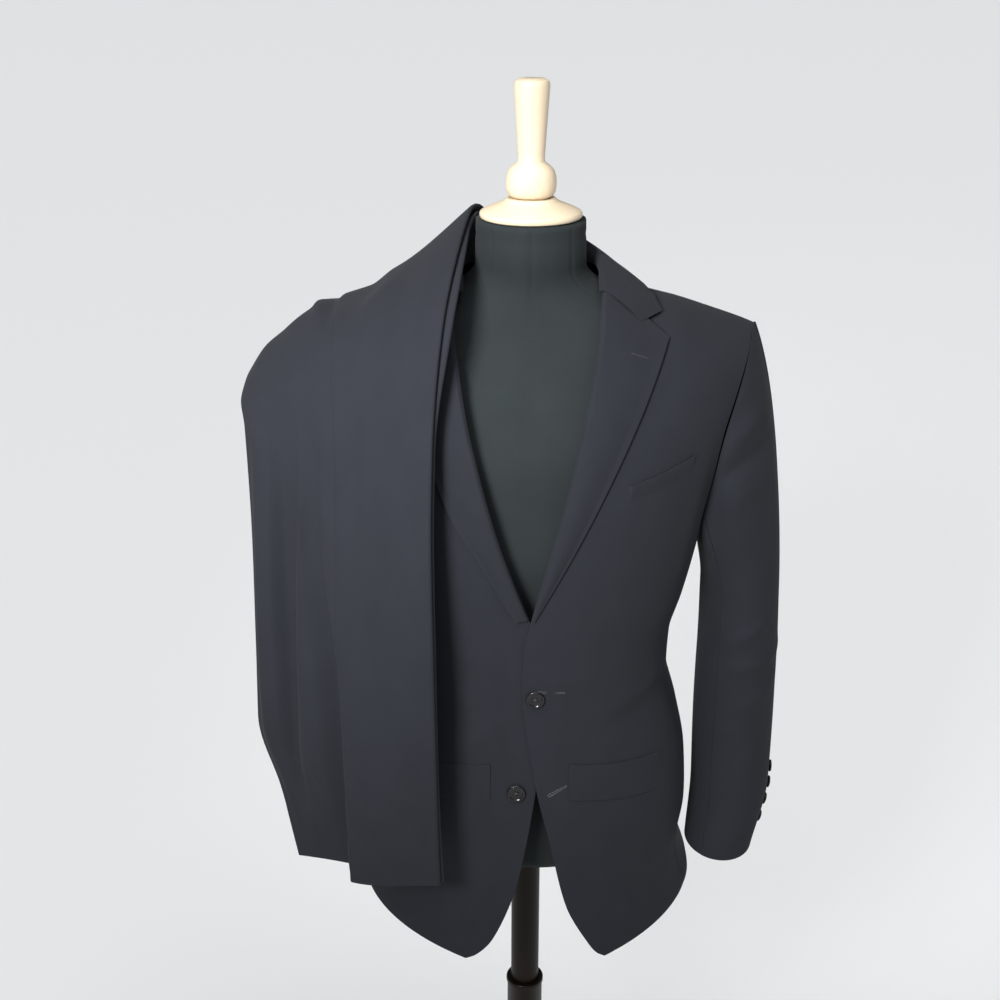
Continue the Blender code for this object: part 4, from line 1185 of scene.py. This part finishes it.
LEG_CREASES = table(  # across is the share of the width from the neck side, up is a tenth of the row
    "x0 z0 x1 z1 width height",
    (0.22, 0.665, 0.40, 0.620, 0.022, 0.0030),
    (0.19, 0.630, 0.36, 0.530, 0.030, -0.0030),
    (0.36, 0.530, 0.42, 0.440, 0.035, -0.0014),
    (0.14, 0.640, 0.10, 0.560, 0.025, -0.0016),
    (0.30, 0.540, 0.34, 0.400, 0.060, 0.0016),
    (0.59, 0.650, 0.60, 0.740, 0.030, 0.0045),
    (0.53, 0.640, 0.52, 0.760, 0.022, -0.0040),
    (0.62, 0.470, 0.66, 0.380, 0.040, -0.0020),
    (0.83, 0.280, 0.84, 0.235, 0.018, 0.0016),
    (0.80, 0.215, 0.83, 0.150, 0.015, -0.0014),
    (0.72, 0.180, 0.68, 0.110, 0.020, 0.0012),
    (0.30, 0.900, 0.45, 1.050, 0.030, 0.0030),
    (0.60, 0.880, 0.50, 1.000, 0.030, -0.0026),
    (0.25, 1.120, 0.55, 1.090, 0.025, 0.0026),
    (0.70, 0.980, 0.78, 1.120, 0.030, 0.0024),
)
HEM_ROW = 0.62


def drape(w, row):
    """The surface that the pressed legs lie on: w from the neck side (0) to the outer edge (1)."""
    right, middle, left = (smooth(DRAPE, "row", c, row) for c in ("right", "middle", "left"))
    curved = right * (1 - w) * (1 - 2 * w) + middle * 4 * w * (1 - w) + left * w * (2 * w - 1)
    inside = min(max(w, 0.0), 1.0)
    wave = BACK_WAVE * ease((row - BACK_WAVE_ROW) / 4) * (1 - math.cos(4 * math.pi * inside)) / 2
    dip = 0.0149 * math.sin(2 * math.pi * inside) + 0.00105 * (1 - math.cos(4 * math.pi * inside))
    bend = ease((row - 5.8) / 1.2) * ease((9.6 - row) / 1.6) * dip
    settled = 0.0070 * ease((inside - 0.28) / 0.10) * ease((0.92 - inside) / 0.15) * ease((row - 6.2) / 0.7)
    return curved + Vector((0, wave, -bend - settled * ease((8.4 - row) / 0.7)))


def drape_normal(w, row):
    step = 1e-3
    low, high = max(row - step, 0.0), min(row + step, 13.0)
    return (drape(w, high) - drape(w, low)).cross(drape(w + step, row) - drape(w - step, row)).normalized()


def fold_height(w, row):
    """How far the upper leg's folds stand out from the drape."""
    ridge_at, ridge, step_at, step, strip = (
        smooth(FOLDS, "row", c, row) for c in ("ridge_at", "ridge", "step_at", "step", "strip")
    )
    rising = math.sin(math.pi / 2 * max(w, 0) / ridge_at)
    main = ridge * (rising if w <= ridge_at else 1 - ease((w - ridge_at) / 0.055))
    mid = ridge_at + 0.05
    second = step * (ease((w - mid) / 0.12) if w <= step_at else 1 - ease((w - step_at) / 0.07))
    edge = strip * ease((w - 0.79) / 0.08) * (1 - ease((w - 0.93) / 0.07))
    turned_up = 0.0005 * (1 - ease((row - HEM_ROW) / 0.10))
    faded = min(1.0, max(0.0, 16 * w), max(0.0, 16 * (1 - w)))
    fine = creased(LEG_CREASES, w, row / 10) * faded
    return main + max(second, 0.0) * (w > mid) + edge + turned_up + fine


def leg_surface(depth_below, folded, spread):
    """Outer face of one leg's upper layer, or of the layer under it, as a function of w, row and depth."""

    def at(w, row, depth):
        reach = spread * ease((row - 5.0) / 0.8) * ease((6.9 - row) / 0.9)
        place_w = w - reach * (1 - min(max(w, 0.0), 1.0))
        lift = fold_height(w, row) if folded else 0.0
        below = depth_below * (1 + 0.35 * ease((row - 6.0) / 1.5))
        return drape(place_w, row) + drape_normal(place_w, row) * (lift - below - depth)

    return at


def inner_edge(row, seam, crease):
    """Where the inner layer ends: at the inseam below the crotch, near the crease above it."""
    return mix(seam, mix(crease, seam, 0.30), ease((row - CROTCH_ROW) / 0.8))


def leg_panel(surface, crease, first_row, last_row):
    """Half a pressed leg: outseam (a = 0), outer layer, round the crease, inner layer to the inseam."""
    outer_end, turn_end = 0.60, 0.70
    radius = LEG_DEPTH / 2
    inset = 0.0003
    seam = 0.5 + (inset if crease > 0.5 else -inset)

    def point(a, b):
        row = mix(first_row, last_row, b)
        if a <= outer_end:
            return surface(mix(seam, crease, a / outer_end), row, 0.0)
        if a >= turn_end:
            back = (a - turn_end) / (1 - turn_end)
            return surface(mix(crease, inner_edge(row, seam, crease), back), row, LEG_DEPTH)
        angle = (a - outer_end) / (turn_end - outer_end) * math.pi
        away = (surface(crease, row, radius) - surface(mix(crease, 0.5, 0.02), row, radius)).normalized()
        up = (surface(crease, row, 0.0) - surface(crease, row, LEG_DEPTH)).normalized()
        turned_over = up * radius * math.cos(angle) + away * radius * math.sin(angle)
        return surface(crease, row, radius) + turned_over

    return point


Leg = namedtuple("Leg", "name below folded spread")
SEAM_ROWS = 0.012
for leg in (Leg("left", 0.0, True, 0.0), Leg("right", LEG_DEPTH + LEG_GAP, False, 0.028)):
    surface = leg_surface(leg.below, leg.folded, leg.spread)
    for half, crease, turn in (("front", 0.0, 1), ("back", 1.0, -1)):
        panel = leg_panel(surface, crease, 0.0, WAIST_SEAM_ROW - SEAM_ROWS)
        cells = (60, 170) if leg.folded else (40, 110)
        sewn(f"trouser_{half}_{leg.name}", panel, cells, (0.24, 1.04), turn)
        band = leg_panel(surface, crease, WAIST_SEAM_ROW + SEAM_ROWS, 13.0)
        sewn(f"waistband_{half}_{leg.name}", band, (60, 10), (0.19, 0.040), turn)


def patch_point(surface, w, row, out):
    """A patch on the legs between two places across and two rows, moved out from the cloth."""
    return lambda a, b: surface(mix(w[0], w[1], a), mix(row[0], row[1], b), -out)


surface = leg_surface(0.0, True, 0.0)
for i, w in enumerate((1 / 6, 1 / 3, 5 / 6)):
    loop = patch_point(surface, (w - 0.018, w + 0.018), (12.38, 12.98), CLOTH + 0.0004)
    sewn(f"belt_loop_{i + 1}", loop, (6, 16), (0.010, 0.05), -1)
welt = patch_point(surface, (0.60, 0.92), (11.55, 11.68), CLOTH + 0.0004)
sewn("back_pocket_welt", welt, (40, 6), (0.085, 0.011), -1)
